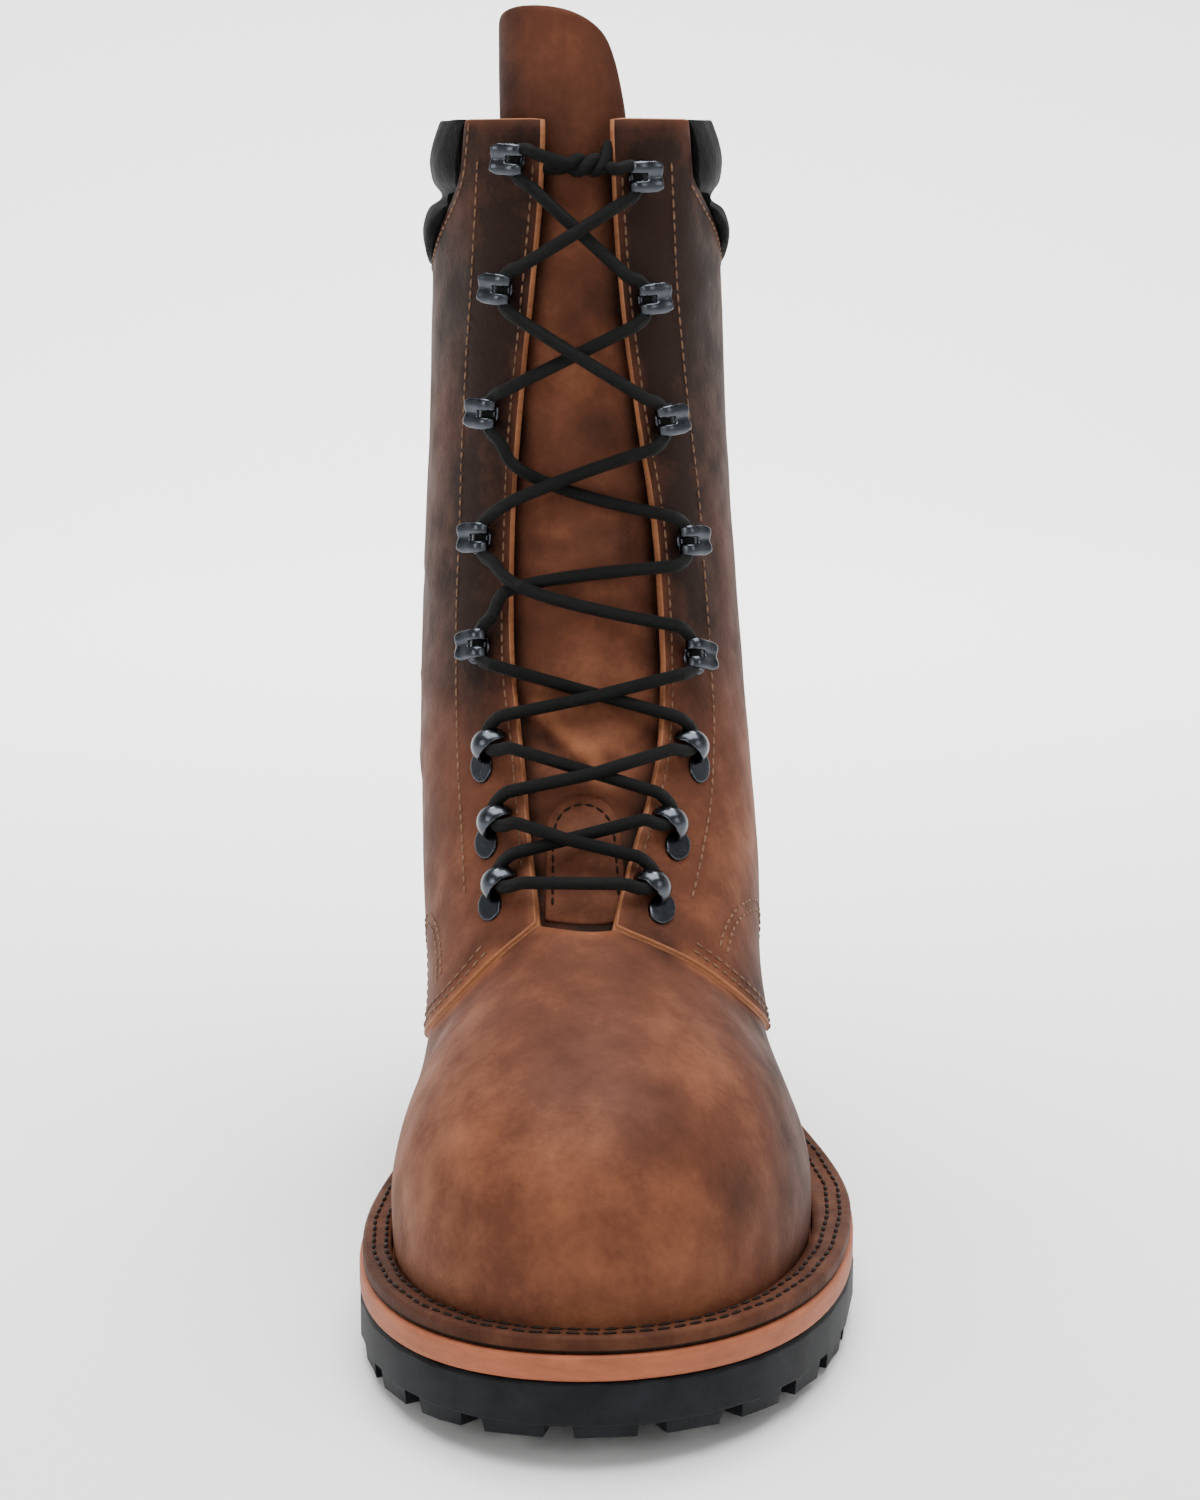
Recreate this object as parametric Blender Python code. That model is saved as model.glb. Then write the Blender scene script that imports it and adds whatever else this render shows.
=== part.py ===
"""Tall lace-up work boot for the left foot: one object for each piece that a maker would put together.

Sizes are in millimetres until `place` turns them into metres. A point of the boot is (across, along, up):
across grows to the outer side of the foot, along grows from the back of the heel to the toe, and up grows
from the floor. In the scene the toe points to -Y and the outer side to +X.
"""

import math
from bisect import bisect_right
from collections import namedtuple
from functools import lru_cache

import bmesh
import bpy
from mathutils import Vector

MM = 0.001
GAP = 0.3
OUTER = 1.0
INNER = -1.0

# Sole
SOLE_LENGTH = 308.0
SOLE_BALL_HALF = {OUTER: 67.5, INNER: 58.5}
SOLE_WAIST_HALF = {OUTER: 51.0, INNER: 42.0}
SOLE_HEEL_HALF = 41.0
SOLE_TOE_POWER = 2.1
BALL_ALONG = {OUTER: 194.0, INNER: 221.0}
WAIST_ALONG = 122.0
SOLE_HEEL_ARC = 45.0
TOE_SWING = 5.0
TOE_SWING_START = 118.0
OUTSOLE_THICK = 16.0
OUTSOLE_BASE = 10.5
MIDSOLE_THICK = 6.0
WELT_THICK = 4.0
INSOLE_THICK = 4.0
HEEL_RISE = 22.0
RISE_END = 60.0
BALL_START = 186.0
SPRING_START = 230.0
TOE_SPRING = 5.5
TREAD_SPRING = 2.6
LUG_LENGTH = 15.5
LUG_PITCH = 21.6
LUG_DEPTH = 18.0
LUG_TAPER = 4.0
LUG_START = 168.0
TOE_STEPS = 8
HEEL_STEPS = 6

# Upper
WALL = 2.2
QUARTER_WALL = 2.4
QUARTER_STEP = 1.4
UPPER_BALL_HALF = {OUTER: 58.0, INNER: 51.0}
UPPER_WAIST_HALF = {OUTER: 49.5, INNER: 46.0}
UPPER_TOE = 300.0
UPPER_TOE_POWER = 2.1
LEG_ARC = 60.0
LEG_FRONT_START = 140.0
LEG_FRONT_SLOPE = 0.9
COLLAR_UP = 297.0
THROAT_BASE = 96.5
LOWER_ROWS = 9
QUARTER_ROWS = 17

# Tongue, collar pad, lace and metal
TONGUE_THICK = 2.0
TONGUE_TOP = 326.0
TONGUE_ROLL = 16.6
PAD_DEEP = 9.0
PAD_END_DEEP = {6: 2.4, 7: 3.6, 8: 6.0}
PAD_END_CLEAR = 1.2
PAD_GROOVE_UP = 277.0
LACE_RADIUS = 1.85
LACE_SIDES = 8
METAL_THICK = 1.1
FIXING_GAP = 0.5

Profile = namedtuple("Profile", "name along up")
FRONT_PROFILE = (
    Profile("toe feather", 300.0, 22.0),
    Profile("toe wall foot", 299.8, 33.0),
    Profile("toe wall", 298.4, 47.0),
    Profile("toe turn low", 294.0, 59.5),
    Profile("toe turn", 285.0, 69.5),
    Profile("toe top", 269.0, 78.0),
    Profile("vamp", 248.0, 84.5),
    Profile("ball", 224.0, 90.5),
    Profile("throat base", 200.0, 97.5),
    Profile("lower loops", 181.0, 117.0),
    Profile("top loop", 164.0, 138.0),
    Profile("ankle bend", 151.5, 162.0),
    Profile("fourth hook", 144.0, 190.0),
    Profile("third hook", 139.5, 222.0),
    Profile("second hook", 137.0, 256.0),
    Profile("collar", 136.0, 300.0),
)
BACK_PROFILE = (
    Profile("seat", 7.5, 40.0),
    Profile("heel low", 4.6, 58.0),
    Profile("heel", 3.4, 76.0),
    Profile("heel high", 4.6, 93.0),
    Profile("achilles low", 8.5, 112.0),
    Profile("achilles", 13.0, 134.0),
    Profile("leg low", 16.0, 160.0),
    Profile("leg", 17.0, 195.0),
    Profile("leg high", 16.0, 245.0),
    Profile("collar back", 14.0, 300.0),
)

LegWidth = namedtuple("LegWidth", "up outer inner")
LEG_WIDTHS = (
    LegWidth(40.0, 38.5, 37.0),
    LegWidth(58.0, 42.0, 39.5),
    LegWidth(80.0, 45.5, 41.5),
    LegWidth(102.0, 46.4, 43.0),
    LegWidth(125.0, 45.8, 43.6),
    LegWidth(152.0, 45.0, 43.0),
    LegWidth(186.0, 43.0, 41.6),
    LegWidth(222.0, 41.0, 40.2),
    LegWidth(256.0, 39.6, 39.2),
    LegWidth(300.0, 39.0, 38.6),
)

FootShape = namedtuple("FootShape", "along rise_power side_power pinch")
FOOT_SHAPES = (
    FootShape(120.0, 1.75, 1.75, 0.15),
    FootShape(165.0, 1.72, 1.72, 0.13),
    FootShape(198.0, 1.80, 1.75, 0.06),
    FootShape(216.0, 2.05, 1.95, 0.025),
    FootShape(248.0, 2.45, 2.10, 0.02),
    FootShape(300.0, 2.60, 2.20, 0.02),
)
SIDE_FULLNESS = {OUTER: 0.05, INNER: 0.35}

Throat = namedtuple("Throat", "up half shift")
THROAT = (
    Throat(96.5, 9.4, -4.0),
    Throat(106.0, 11.5, -3.0),
    Throat(117.0, 14.5, -1.2),
    Throat(134.0, 18.0, 1.0),
    Throat(158.0, 20.0, 0.4),
    Throat(188.0, 19.0, 0.0),
    Throat(220.0, 15.4, -1.6),
    Throat(252.0, 11.6, -2.0),
    Throat(284.0, 9.0, -1.6),
    Throat(300.0, 8.5, -1.6),
)

# The lower edge of the quarter and the top line of the leather, by grid column from throat (2) to heel (18)
EDGE_COLUMN = 2
BACK_COLUMN = 18
Edge = namedtuple("Edge", "name column along up")
QUARTER_EDGE = (
    Edge("below throat", 4, 198.5, 80.0),
    Edge("front", 6, 182.0, 64.0),
    Edge("tip", 7, 166.0, 57.5),
    Edge("behind tip", 8, 154.0, 65.0),
    Edge("sweep", 10, 131.0, 82.0),
    Edge("side", 12, 101.0, 93.5),
    Edge("heel side", 15, 45.0, 102.0),
    Edge("heel round", 17, 14.0, 104.0),
    Edge("heel back", 18, 7.0, 104.0),
)
TAB_CORNER = {OUTER: 119.5, INNER: 115.0}
TAB_DROP = 15.0
TAB_LEAN = 1.6
TOP_LINE = (
    Edge("scoop", 8, 99.0, 270.0),
    Edge("scoop end", 10, 80.0, 260.0),
    Edge("side", 13, 54.0, 256.0),
    Edge("back side", 16, 27.0, 255.0),
    Edge("back round", 17, 18.0, 255.0),
    Edge("back", 18, 15.6, 255.0),
)
FEATHER = (
    Edge("toe", 0, 300.0, 0.0),
    Edge("toe round", 1, 297.6, 0.0),
    Edge("toe corner", 2, 290.5, 0.0),
    Edge("toe side", 4, 260.0, 0.0),
    Edge("ball", 7, 198.0, 0.0),
    Edge("waist", 11, 127.0, 0.0),
    Edge("heel", 15, 45.0, 0.0),
    Edge("heel corner", 16, 27.0, 0.0),
    Edge("heel round", 17, 13.5, 0.0),
    Edge("heel back", 18, 7.5, 0.0),
)

Fixing = namedtuple("Fixing", "name outer_up inner_up out")
HOOKS = (
    Fixing("1", 282.0, 286.5, 6.9),
    Fixing("2", 250.5, 253.0, 6.9),
    Fixing("3", 218.5, 220.0, 6.9),
    Fixing("4", 185.5, 186.5, 6.9),
    Fixing("5", 155.0, 158.0, 6.9),
)
LOOPS = (
    Fixing("1", 131.5, 132.0, 7.0),
    Fixing("2", 114.5, 115.0, 7.0),
    Fixing("3", 101.0, 100.5, 7.6),
)


class Curve:
    """A smooth curve through points, which never swings past them."""

    def __init__(self, points):
        points = sorted(points)
        self.xs = [p[0] for p in points]
        self.ys = [p[1] for p in points]
        steps = [b - a for a, b in zip(self.xs, self.xs[1:])]
        slopes = [(b - a) / h for a, b, h in zip(self.ys, self.ys[1:], steps)]
        self.tangents = [slopes[0]]
        for left, right, a, b in zip(slopes, slopes[1:], steps, steps[1:]):
            if left * right <= 0.0:
                self.tangents.append(0.0)
                continue
            near, far = 2.0 * b + a, b + 2.0 * a
            self.tangents.append((near + far) / (near / left + far / right))
        self.tangents.append(slopes[-1])

    def __call__(self, x):
        if x <= self.xs[0]:
            return self.ys[0]
        if x >= self.xs[-1]:
            return self.ys[-1]
        i = bisect_right(self.xs, x) - 1
        h = self.xs[i + 1] - self.xs[i]
        t = (x - self.xs[i]) / h
        return (
            (1.0 + 2.0 * t) * (1.0 - t) ** 2 * self.ys[i]
            + t * (1.0 - t) ** 2 * h * self.tangents[i]
            + t * t * (3.0 - 2.0 * t) * self.ys[i + 1]
            + t * t * (t - 1.0) * h * self.tangents[i + 1]
        )


def smoothstep(low, high, value):
    t = min(max((value - low) / (high - low), 0.0), 1.0)
    return t * t * (3.0 - 2.0 * t)


def mix(a, b, t):
    return a + (b - a) * t


def solve(rises, target, low, high):
    """The value between low and high at which a rising function reaches the target."""
    for _ in range(42):
        middle = 0.5 * (low + high)
        if rises(middle) < target:
            low = middle
        else:
            high = middle
    return 0.5 * (low + high)


# The sole's lines


FEATHER_LINE = Curve([(e.column, e.along) for e in FEATHER])
TOE_ARC_END = FEATHER_LINE(7)
WAIST_STATIONS = [FEATHER_LINE(column) for column in range(8, 15)]
HEEL_BREAST = WAIST_STATIONS[-2]
RISE_STATIONS = [SOLE_HEEL_ARC] + WAIST_STATIONS[::-1]
RISE_STATIONS += [mix(TOE_ARC_END, SOLE_LENGTH, i / 6.0) for i in range(7)]


def lift(along):
    heel = HEEL_RISE * (1.0 - smoothstep(RISE_END, BALL_START, along))
    spring = max(0.0, (along - SPRING_START) / (SOLE_LENGTH - SPRING_START))
    return heel + TOE_SPRING * spring**1.8


def sole_rise(along):
    """How far heel and toe spring lift the sole's layers, straight between the stations that they share."""
    after = min(max(bisect_right(RISE_STATIONS, along), 1), len(RISE_STATIONS) - 1)
    near, far = RISE_STATIONS[after - 1], RISE_STATIONS[after]
    t = min(max((along - near) / (far - near), 0.0), 1.0)
    return mix(lift(near), lift(far), t)


def tread_up(along):
    """The height of the lugs' lower ends, which lift more than the layers do towards the toe."""
    spring = max(0.0, (along - SPRING_START) / (SOLE_LENGTH - SPRING_START))
    return sole_rise(along) + TREAD_SPRING * spring


def centre_line(along):
    """The foot's curved centre line: the toe swings to the inner side."""
    t = max(0.0, (along - TOE_SWING_START) / (SOLE_LENGTH - TOE_SWING_START))
    return -TOE_SWING * t * t


def sole_half(side, along, inset):
    """Half the sole's width at a station: heel arc, waist, ball and toe arc."""
    ball_along = BALL_ALONG[side]
    ball = SOLE_BALL_HALF[side] - inset
    waist = SOLE_WAIST_HALF[side] - inset
    heel = SOLE_HEEL_HALF - inset
    if along >= ball_along:
        reach = min(1.0, (along - ball_along) / (SOLE_LENGTH - inset - ball_along))
        return ball * (1.0 - reach**SOLE_TOE_POWER) ** (1.0 / SOLE_TOE_POWER)
    if along >= WAIST_ALONG:
        return mix(waist, ball, smoothstep(WAIST_ALONG, ball_along, along))
    if along >= SOLE_HEEL_ARC:
        return mix(heel, waist, smoothstep(SOLE_HEEL_ARC, WAIST_ALONG, along))
    reach = min(1.0, (SOLE_HEEL_ARC - along) / (SOLE_HEEL_ARC - inset))
    return heel * math.sqrt(1.0 - reach * reach)


def sole_side(side, inset):
    """One side of the sole's outline from toe tip to heel back, as (across, along) points."""
    stations = []
    for i in range(TOE_STEPS + 1):
        reach = max(0.0, math.cos(0.5 * math.pi * i / TOE_STEPS)) ** (2.0 / SOLE_TOE_POWER)
        stations.append(mix(TOE_ARC_END, SOLE_LENGTH - inset, reach))
    stations += WAIST_STATIONS
    for i in range(HEEL_STEPS + 1):
        stations.append(mix(SOLE_HEEL_ARC, inset, math.sin(0.5 * math.pi * i / HEEL_STEPS)))
    return [(centre_line(along) + side * sole_half(side, along, inset), along) for along in stations]


def sole_loop(inset):
    """The closed outline: toe tip, outer side, heel back, inner side."""
    outer = sole_side(OUTER, inset)
    inner = sole_side(INNER, inset)
    return outer + inner[-2:0:-1]


OUTLINE = sole_loop(0.0)
SHIFT = -0.5 * (max(p[0] for p in OUTLINE) + min(p[0] for p in OUTLINE))


def place(point):
    """A boot point in metres, with the sole's outline centred on the origin."""
    across, along, up = point
    return Vector(((across + SHIFT) * MM, (0.5 * SOLE_LENGTH - along) * MM, up * MM))


# The upper's surface

front_along = Curve([(p.up, p.along) for p in FRONT_PROFILE])
back_along = Curve([(p.up, p.along) for p in BACK_PROFILE])
leg_half = {
    OUTER: Curve([(w.up, w.outer) for w in LEG_WIDTHS]),
    INNER: Curve([(w.up, w.inner) for w in LEG_WIDTHS]),
}
rise_power = Curve([(f.along, f.rise_power) for f in FOOT_SHAPES])
side_power = Curve([(f.along, f.side_power) for f in FOOT_SHAPES])
foot_pinch = Curve([(f.along, f.pinch) for f in FOOT_SHAPES])
throat_half = Curve([(t.up, t.half) for t in THROAT])
throat_shift = Curve([(t.up, t.shift) for t in THROAT])


def feather_up(along):
    """The upper's lower edge, on top of the midsole."""
    return sole_rise(along) + OUTSOLE_THICK + MIDSOLE_THICK + 2.0 * GAP


def front_samples():
    low, high = FRONT_PROFILE[0].up, FRONT_PROFILE[-1].up
    heights = [mix(low, high, i / 400.0) for i in range(401)]
    return [(front_along(up), up) for up in heights]


# The height of the front profile over a station
ridge_up = Curve(front_samples())


def foot_half(along, up, side):
    """Half the foot's width at a station and height: an arch from the feather line to the ridge."""
    ball_along = BALL_ALONG[side]
    ball = UPPER_BALL_HALF[side]
    if along >= UPPER_TOE:
        return 0.0
    if along > ball_along:
        reach = (along - ball_along) / (UPPER_TOE - ball_along)
        base = ball * (1.0 - reach**UPPER_TOE_POWER) ** (1.0 / UPPER_TOE_POWER)
    else:
        base = mix(UPPER_WAIST_HALF[side], ball, smoothstep(WAIST_ALONG, ball_along, along))
    foot = feather_up(along)
    top = ridge_up(along)
    if top - foot < 0.01:
        return 0.0
    height = min(max((up - foot) / (top - foot), 0.0), 1.0)
    power = rise_power(along) + SIDE_FULLNESS[side]
    arch = max(0.0, 1.0 - height**power) ** (1.0 / side_power(along))
    pinched = foot_pinch(along) * max(0.0, 1.0 - (up - foot) / 26.0) ** 2
    return base * arch * (1.0 - pinched)


def leg_half_at(along, up, side):
    """Half the leg's width at a station and height: an oval from heel or back to the front."""
    back = back_along(up)
    front = front_along(up)
    if up < LEG_FRONT_START:
        front = min(front, front_along(LEG_FRONT_START) + LEG_FRONT_SLOPE * (LEG_FRONT_START - up))
    half = leg_half[side](up)
    if along < back + LEG_ARC:
        t = min(1.0, (back + LEG_ARC - along) / LEG_ARC)
        return half * (1.0 - t**2.2) ** (1.0 / 2.2)
    arc = min(front - back - LEG_ARC, 64.0)
    if along > front - arc:
        t = min(1.0, (along - front + arc) / arc)
        return half * (1.0 - t**2.1) ** (1.0 / 2.1)
    return half


def half_width(along, up, side):
    """Half the upper's width from its centre line to one side."""
    weight = smoothstep(138.0, 206.0, along)
    leg = leg_half_at(along, up, side) if weight < 1.0 else 0.0
    foot = foot_half(along, up, side) if weight > 0.0 else 0.0
    return mix(leg, foot, weight)


def upper_point(along, up, side):
    return (centre_line(along) + side * half_width(along, up, side), along, up)


@lru_cache(maxsize=None)
def front_point(across, up):
    """The point on the front of leg or instep at an offset to one side, at a height."""
    side = OUTER if across >= 0.0 else INNER
    front = front_along(up)
    along = solve(lambda a: -half_width(a, up, side), -abs(across), back_along(up) + LEG_ARC, front)
    return Vector((centre_line(along) + across, along, up))


def front_frame(across, up):
    """Point, outward normal and the lengths of a step across and a step up on the front."""
    right = front_point(across + 0.6, up) - front_point(across - 0.6, up)
    rise = front_point(across, up + 0.6) - front_point(across, up - 0.6)
    normal = rise.cross(right).normalized()
    if normal.y < 0.0:
        normal.negate()
    return front_point(across, up), normal, right.length / 1.2, rise.length / 1.2


def off_front(across, up, out):
    point, normal, _, _ = front_frame(across, up)
    return point + normal * out


# Meshes


def finish(name, mesh, material, smooth=True):
    """An object for a finished bmesh, with outward faces."""
    bmesh.ops.recalc_face_normals(mesh, faces=mesh.faces)
    data = bpy.data.meshes.new(name)
    mesh.to_mesh(data)
    mesh.free()
    data.materials.append(material)
    obj = bpy.data.objects.new(name, data)
    bpy.context.scene.collection.objects.link(obj)
    obj.parent = BOOT
    if smooth:
        data.shade_smooth()
    return obj


def add_loop(mesh, points):
    return [mesh.verts.new(place(p)) for p in points]


def bridge(mesh, first, second):
    """Quads between two closed loops of the same length."""
    count = len(first)
    for i in range(count):
        j = (i + 1) % count
        mesh.faces.new((first[i], first[j], second[j], second[i]))


def ladder(mesh, loop):
    """Faces across a loop that starts at the toe tip, rung by rung to the heel back."""
    half = len(loop) // 2
    mesh.faces.new((loop[0], loop[1], loop[-1]))
    for i in range(1, half - 1):
        mesh.faces.new((loop[i], loop[i + 1], loop[-i - 1], loop[-i]))
    mesh.faces.new((loop[half - 1], loop[half], loop[half + 1]))


def plate(name, outline, low, high, material, bevel=0.0):
    """A sole layer: the outline between two heights over the sole's rise."""
    mesh = bmesh.new()
    heights = [(low, bevel), (low + bevel, 0.0), (high - bevel, 0.0), (high, bevel)]
    if not bevel:
        heights = [(low, 0.0), (high, 0.0)]
    loops = []
    for height, inset in heights:
        points = [(x, s, sole_rise(s) + height) for x, s in outline(inset)]
        loops.append(add_loop(mesh, points))
    ladder(mesh, loops[0])
    ladder(mesh, loops[-1])
    for first, second in zip(loops, loops[1:]):
        bridge(mesh, first, second)
    return finish(name, mesh, material)


def tube(mesh, points, radius, sides):
    """A round cord along points, with flat ends."""
    points = [Vector(p) for p in points]
    side = None
    last = None
    for i, point in enumerate(points):
        ahead = points[min(i + 1, len(points) - 1)] - points[max(i - 1, 0)]
        ahead.normalize()
        if side is None:
            side = ahead.orthogonal().normalized()
        side = (side - ahead * side.dot(ahead)).normalized()
        other = ahead.cross(side)
        ring = []
        for k in range(sides):
            angle = 2.0 * math.pi * k / sides
            ring.append(point + side * (radius * math.cos(angle)) + other * (radius * math.sin(angle)))
        loop = add_loop(mesh, ring)
        if last:
            bridge(mesh, last, loop)
        else:
            mesh.faces.new(loop)
        last = loop
    mesh.faces.new(last)


def smooth_path(points, steps):
    """A rounded path through points."""
    points = [Vector(p) for p in points]
    ends = [2.0 * points[0] - points[1]] + points + [2.0 * points[-1] - points[-2]]
    path = [points[0]]
    for a, b, c, d in zip(ends, ends[1:], ends[2:], ends[3:]):
        for k in range(1, steps + 1):
            t = k / steps
            path.append(
                0.5 * (2.0 * b + (c - a) * t + (2.0 * a - 5.0 * b + 4.0 * c - d) * t * t
                       + (3.0 * b - a - 3.0 * c + d) * t**3)
            )
    return path


def combine(target, tools, operation):
    """Joins tools to the target, or cuts them out of it, and removes them."""
    for tool in tools:
        tool.hide_render = True
        tool.display_type = "WIRE"
        change = target.modifiers.new(tool.name, "BOOLEAN")
        change.operation = operation
        change.solver = "EXACT"
        change.object = tool
    graph = bpy.context.evaluated_depsgraph_get()
    joined = bpy.data.meshes.new_from_object(target.evaluated_get(graph))
    target.modifiers.clear()
    target.data = joined
    for tool in tools:
        bpy.data.objects.remove(tool)


def material(name, colour, roughness, metallic=0.0):
    made = bpy.data.materials.new(name)
    made.use_nodes = True
    shader = made.node_tree.nodes["Principled BSDF"]
    shader.inputs["Base Color"].default_value = (*colour, 1.0)
    shader.inputs["Roughness"].default_value = roughness
    shader.inputs["Metallic"].default_value = metallic
    return made


# The pieces of the sole


def along_outline(points):
    """Points and lengths of the outline round the toe (or heel), from one side's start to the other's."""
    chain = [Vector((x, s, 0.0)) for x, s in points]
    lengths = [0.0]
    for a, b in zip(chain, chain[1:]):
        lengths.append(lengths[-1] + (b - a).length)
    return chain, lengths


def at_length(chain, lengths, length):
    """Point and inward direction at a length along an outline."""
    i = max(k for k, known in enumerate(lengths[:-1]) if known <= max(length, 0.0))
    t = (length - lengths[i]) / (lengths[i + 1] - lengths[i])
    return chain[i].lerp(chain[i + 1], t)


def lug(mesh, corners, low, high, draft):
    """A block on a polygon of (across, along) corners, narrower at its low end."""
    middle = sum((Vector((x, s)) for x, s in corners), Vector((0.0, 0.0))) / len(corners)
    bottom = []
    top = []
    for x, s in corners:
        lead = middle - Vector((x, s))
        lead.normalize()
        bottom.append((x + lead.x * draft, s + lead.y * draft, low(s)))
        top.append((x, s, high(s)))
    first = add_loop(mesh, bottom)
    second = add_loop(mesh, top)
    mesh.faces.new(first)
    mesh.faces.new(second)
    bridge(mesh, first, second)


def edge_lugs(mesh, chain, low, high, depth):
    """Lugs at an even pitch along an outline, one of them in its middle, each narrower at its inner end."""
    chain, lengths = along_outline(chain)
    total = lengths[-1]
    pairs = int((0.5 * total - 0.5 * LUG_LENGTH) / LUG_PITCH)
    for k in range(-pairs, pairs + 1):
        middle = 0.5 * total + k * LUG_PITCH
        edge = [at_length(chain, lengths, middle + part * LUG_LENGTH) for part in (-0.5, 0.0, 0.5)]
        ahead = (edge[2] - edge[0]).normalized()
        inner = edge[1] + Vector((ahead.y, -ahead.x, 0.0)) * depth
        corners = edge + [inner + ahead * LUG_TAPER, inner - ahead * LUG_TAPER]
        lug(mesh, [(p.x, p.y) for p in corners], low, high, 0.9)


def make_outsole(rubber):
    base = OUTSOLE_THICK - OUTSOLE_BASE
    outsole = plate("outsole", lambda inset: sole_loop(inset + 0.3), base, OUTSOLE_THICK, rubber, 0.8)
    outer = [p for p in sole_side(OUTER, 0.9) if p[1] > LUG_START]
    inner = [p for p in sole_side(INNER, 0.9) if p[1] > LUG_START]
    mesh = bmesh.new()
    chain = inner[::-1] + outer[1:]
    edge_lugs(mesh, chain, tread_up, lambda s: sole_rise(s) + base + 1.0, LUG_DEPTH)
    for k in range(5):
        along = 184.0 + 19.6 * k
        reach = max(10.0, 31.0 - 0.012 * max(0.0, along - 214.0) ** 2)
        mid = centre_line(along)
        ahead = [(mid - reach, along - 5.0), (mid, along + 1.0), (mid + reach, along - 5.0)]
        behind = [(x, s + 10.0) for x, s in ahead]
        lug(mesh, ahead + behind[::-1], tread_up, lambda s: sole_rise(s) + base + 1.0, 0.9)
    lugs = finish("outsole_lugs", mesh, rubber)
    combine(outsole, [lugs], "UNION")


def make_heel(rubber):
    base = OUTSOLE_THICK - OUTSOLE_BASE

    def heel_side(side, inset):
        points = [p for p in sole_side(side, inset) if p[1] < HEEL_BREAST + 0.1]
        return [(points[0][0], HEEL_BREAST - inset)] + points[1:]

    mesh = bmesh.new()
    loops = []
    levels = ((base, 0.0, 2.6), (base + 2.0, 0.0, 2.2), (base - 1.1, 1.0, 0.5), (base - GAP, 1.0, 1.2))
    for level, lifted, inset in levels:
        outer = heel_side(OUTER, inset)
        inner = heel_side(INNER, inset)
        ring = [(x, s, level + lifted * sole_rise(s)) for x, s in outer + inner[-2::-1]]
        loops.append(add_loop(mesh, ring))
    mesh.faces.new(loops[0])
    half = len(loops[-1]) // 2
    for i in range(half - 1):
        mesh.faces.new((loops[-1][i], loops[-1][i + 1], loops[-1][-i - 2], loops[-1][-i - 1]))
    mesh.faces.new(loops[-1][half - 1 : half + 2])
    for first, second in zip(loops, loops[1:]):
        bridge(mesh, first, second)
    heel = finish("heel", mesh, rubber)
    mesh = bmesh.new()
    outer = heel_side(OUTER, 3.2)
    inner = heel_side(INNER, 3.2)
    chain = outer + inner[-2::-1]
    edge_lugs(mesh, chain, lambda s: 0.0, lambda s: base + 1.0, LUG_DEPTH)
    block = [(-13.0, 30.0), (13.0, 30.0), (16.0, 50.0), (13.0, 70.0), (-13.0, 70.0), (-16.0, 50.0)]
    lug(mesh, block, lambda s: 0.0, lambda s: base + 1.0, 0.9)
    lugs = finish("heel_lugs", mesh, rubber)
    combine(heel, [lugs], "UNION")


def upper_loop(rise, out):
    """The upper's outline at a height over its feather line, moved outwards by a distance."""
    sides = []
    for side in (OUTER, INNER):
        part = []
        for column in range(BACK_COLUMN + 1):
            along = FEATHER_LINE(column)
            part.append(upper_point(along, feather_up(along) + rise, side)[:2])
        part[0] = (centre_line(UPPER_TOE), front_along(feather_up(UPPER_TOE) + rise))
        part[-1] = (0.0, back_along(feather_up(0.0) + rise))
        sides.append(part)
    loop = [Vector(p) for p in sides[0] + sides[1][-2:0:-1]]
    moved = []
    for before, point, after in zip(loop[-1:] + loop[:-1], loop, loop[1:] + loop[:1]):
        first = (point - before).normalized()
        second = (after - point).normalized()
        ahead = (first + second).normalized()
        widen = 1.0 / max(0.5, ahead.dot(first))
        moved.append(point + Vector((ahead.y, -ahead.x)) * (-out * widen))
    return [(p.x, p.y) for p in moved]


def welt_outer(inset):
    """The welt's outer edge, with one point for each point of its inner edge."""
    loop = []
    for x, s in upper_loop(0.0, 0.45):
        loop.append(nearest_out(x, s, inset))
    return loop


def nearest_out(across, along, inset):
    """The point of the sole's outline nearest to a point of the upper's edge."""
    ring = sole_loop(inset)
    start = Vector((across, along))
    best = None
    for a, b in zip(ring, ring[1:] + ring[:1]):
        a, b = Vector(a), Vector(b)
        t = min(max((start - a).dot(b - a) / (b - a).length_squared, 0.0), 1.0)
        found = a.lerp(b, t)
        if best is None or (found - start).length < (best - start).length:
            best = found
    return (best.x, best.y)


def make_welt(leather):
    low = OUTSOLE_THICK + MIDSOLE_THICK + 2.0 * GAP
    mesh = bmesh.new()
    rings = (
        (welt_outer(0.6), 0.0),
        (welt_outer(0.6), WELT_THICK - 0.8),
        (welt_outer(1.4), WELT_THICK),
        (upper_loop(WELT_THICK, 0.45), WELT_THICK),
        (upper_loop(0.0, 0.45), 0.0),
    )
    loops = []
    for outline, height in rings:
        loops.append(add_loop(mesh, [(x, s, sole_rise(s) + low + height) for x, s in outline]))
    for first, second in zip(loops, loops[1:] + loops[:1]):
        bridge(mesh, first, second)
    finish("welt", mesh, leather)


def make_insole(leather):
    low = OUTSOLE_THICK + MIDSOLE_THICK + 2.0 * GAP
    mesh = bmesh.new()
    loops = []
    outline = upper_loop(0.0, -WALL - 0.7)
    for height in (0.0, INSOLE_THICK):
        loops.append(add_loop(mesh, [(x, s, sole_rise(s) + low + height) for x, s in outline]))
    ladder(mesh, loops[0])
    ladder(mesh, loops[1])
    bridge(mesh, loops[0], loops[1])
    finish("insole", mesh, leather)


# The upper


def edge_curves(edges):
    return Curve([(e.column, e.along) for e in edges]), Curve([(e.column, e.up) for e in edges])


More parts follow.
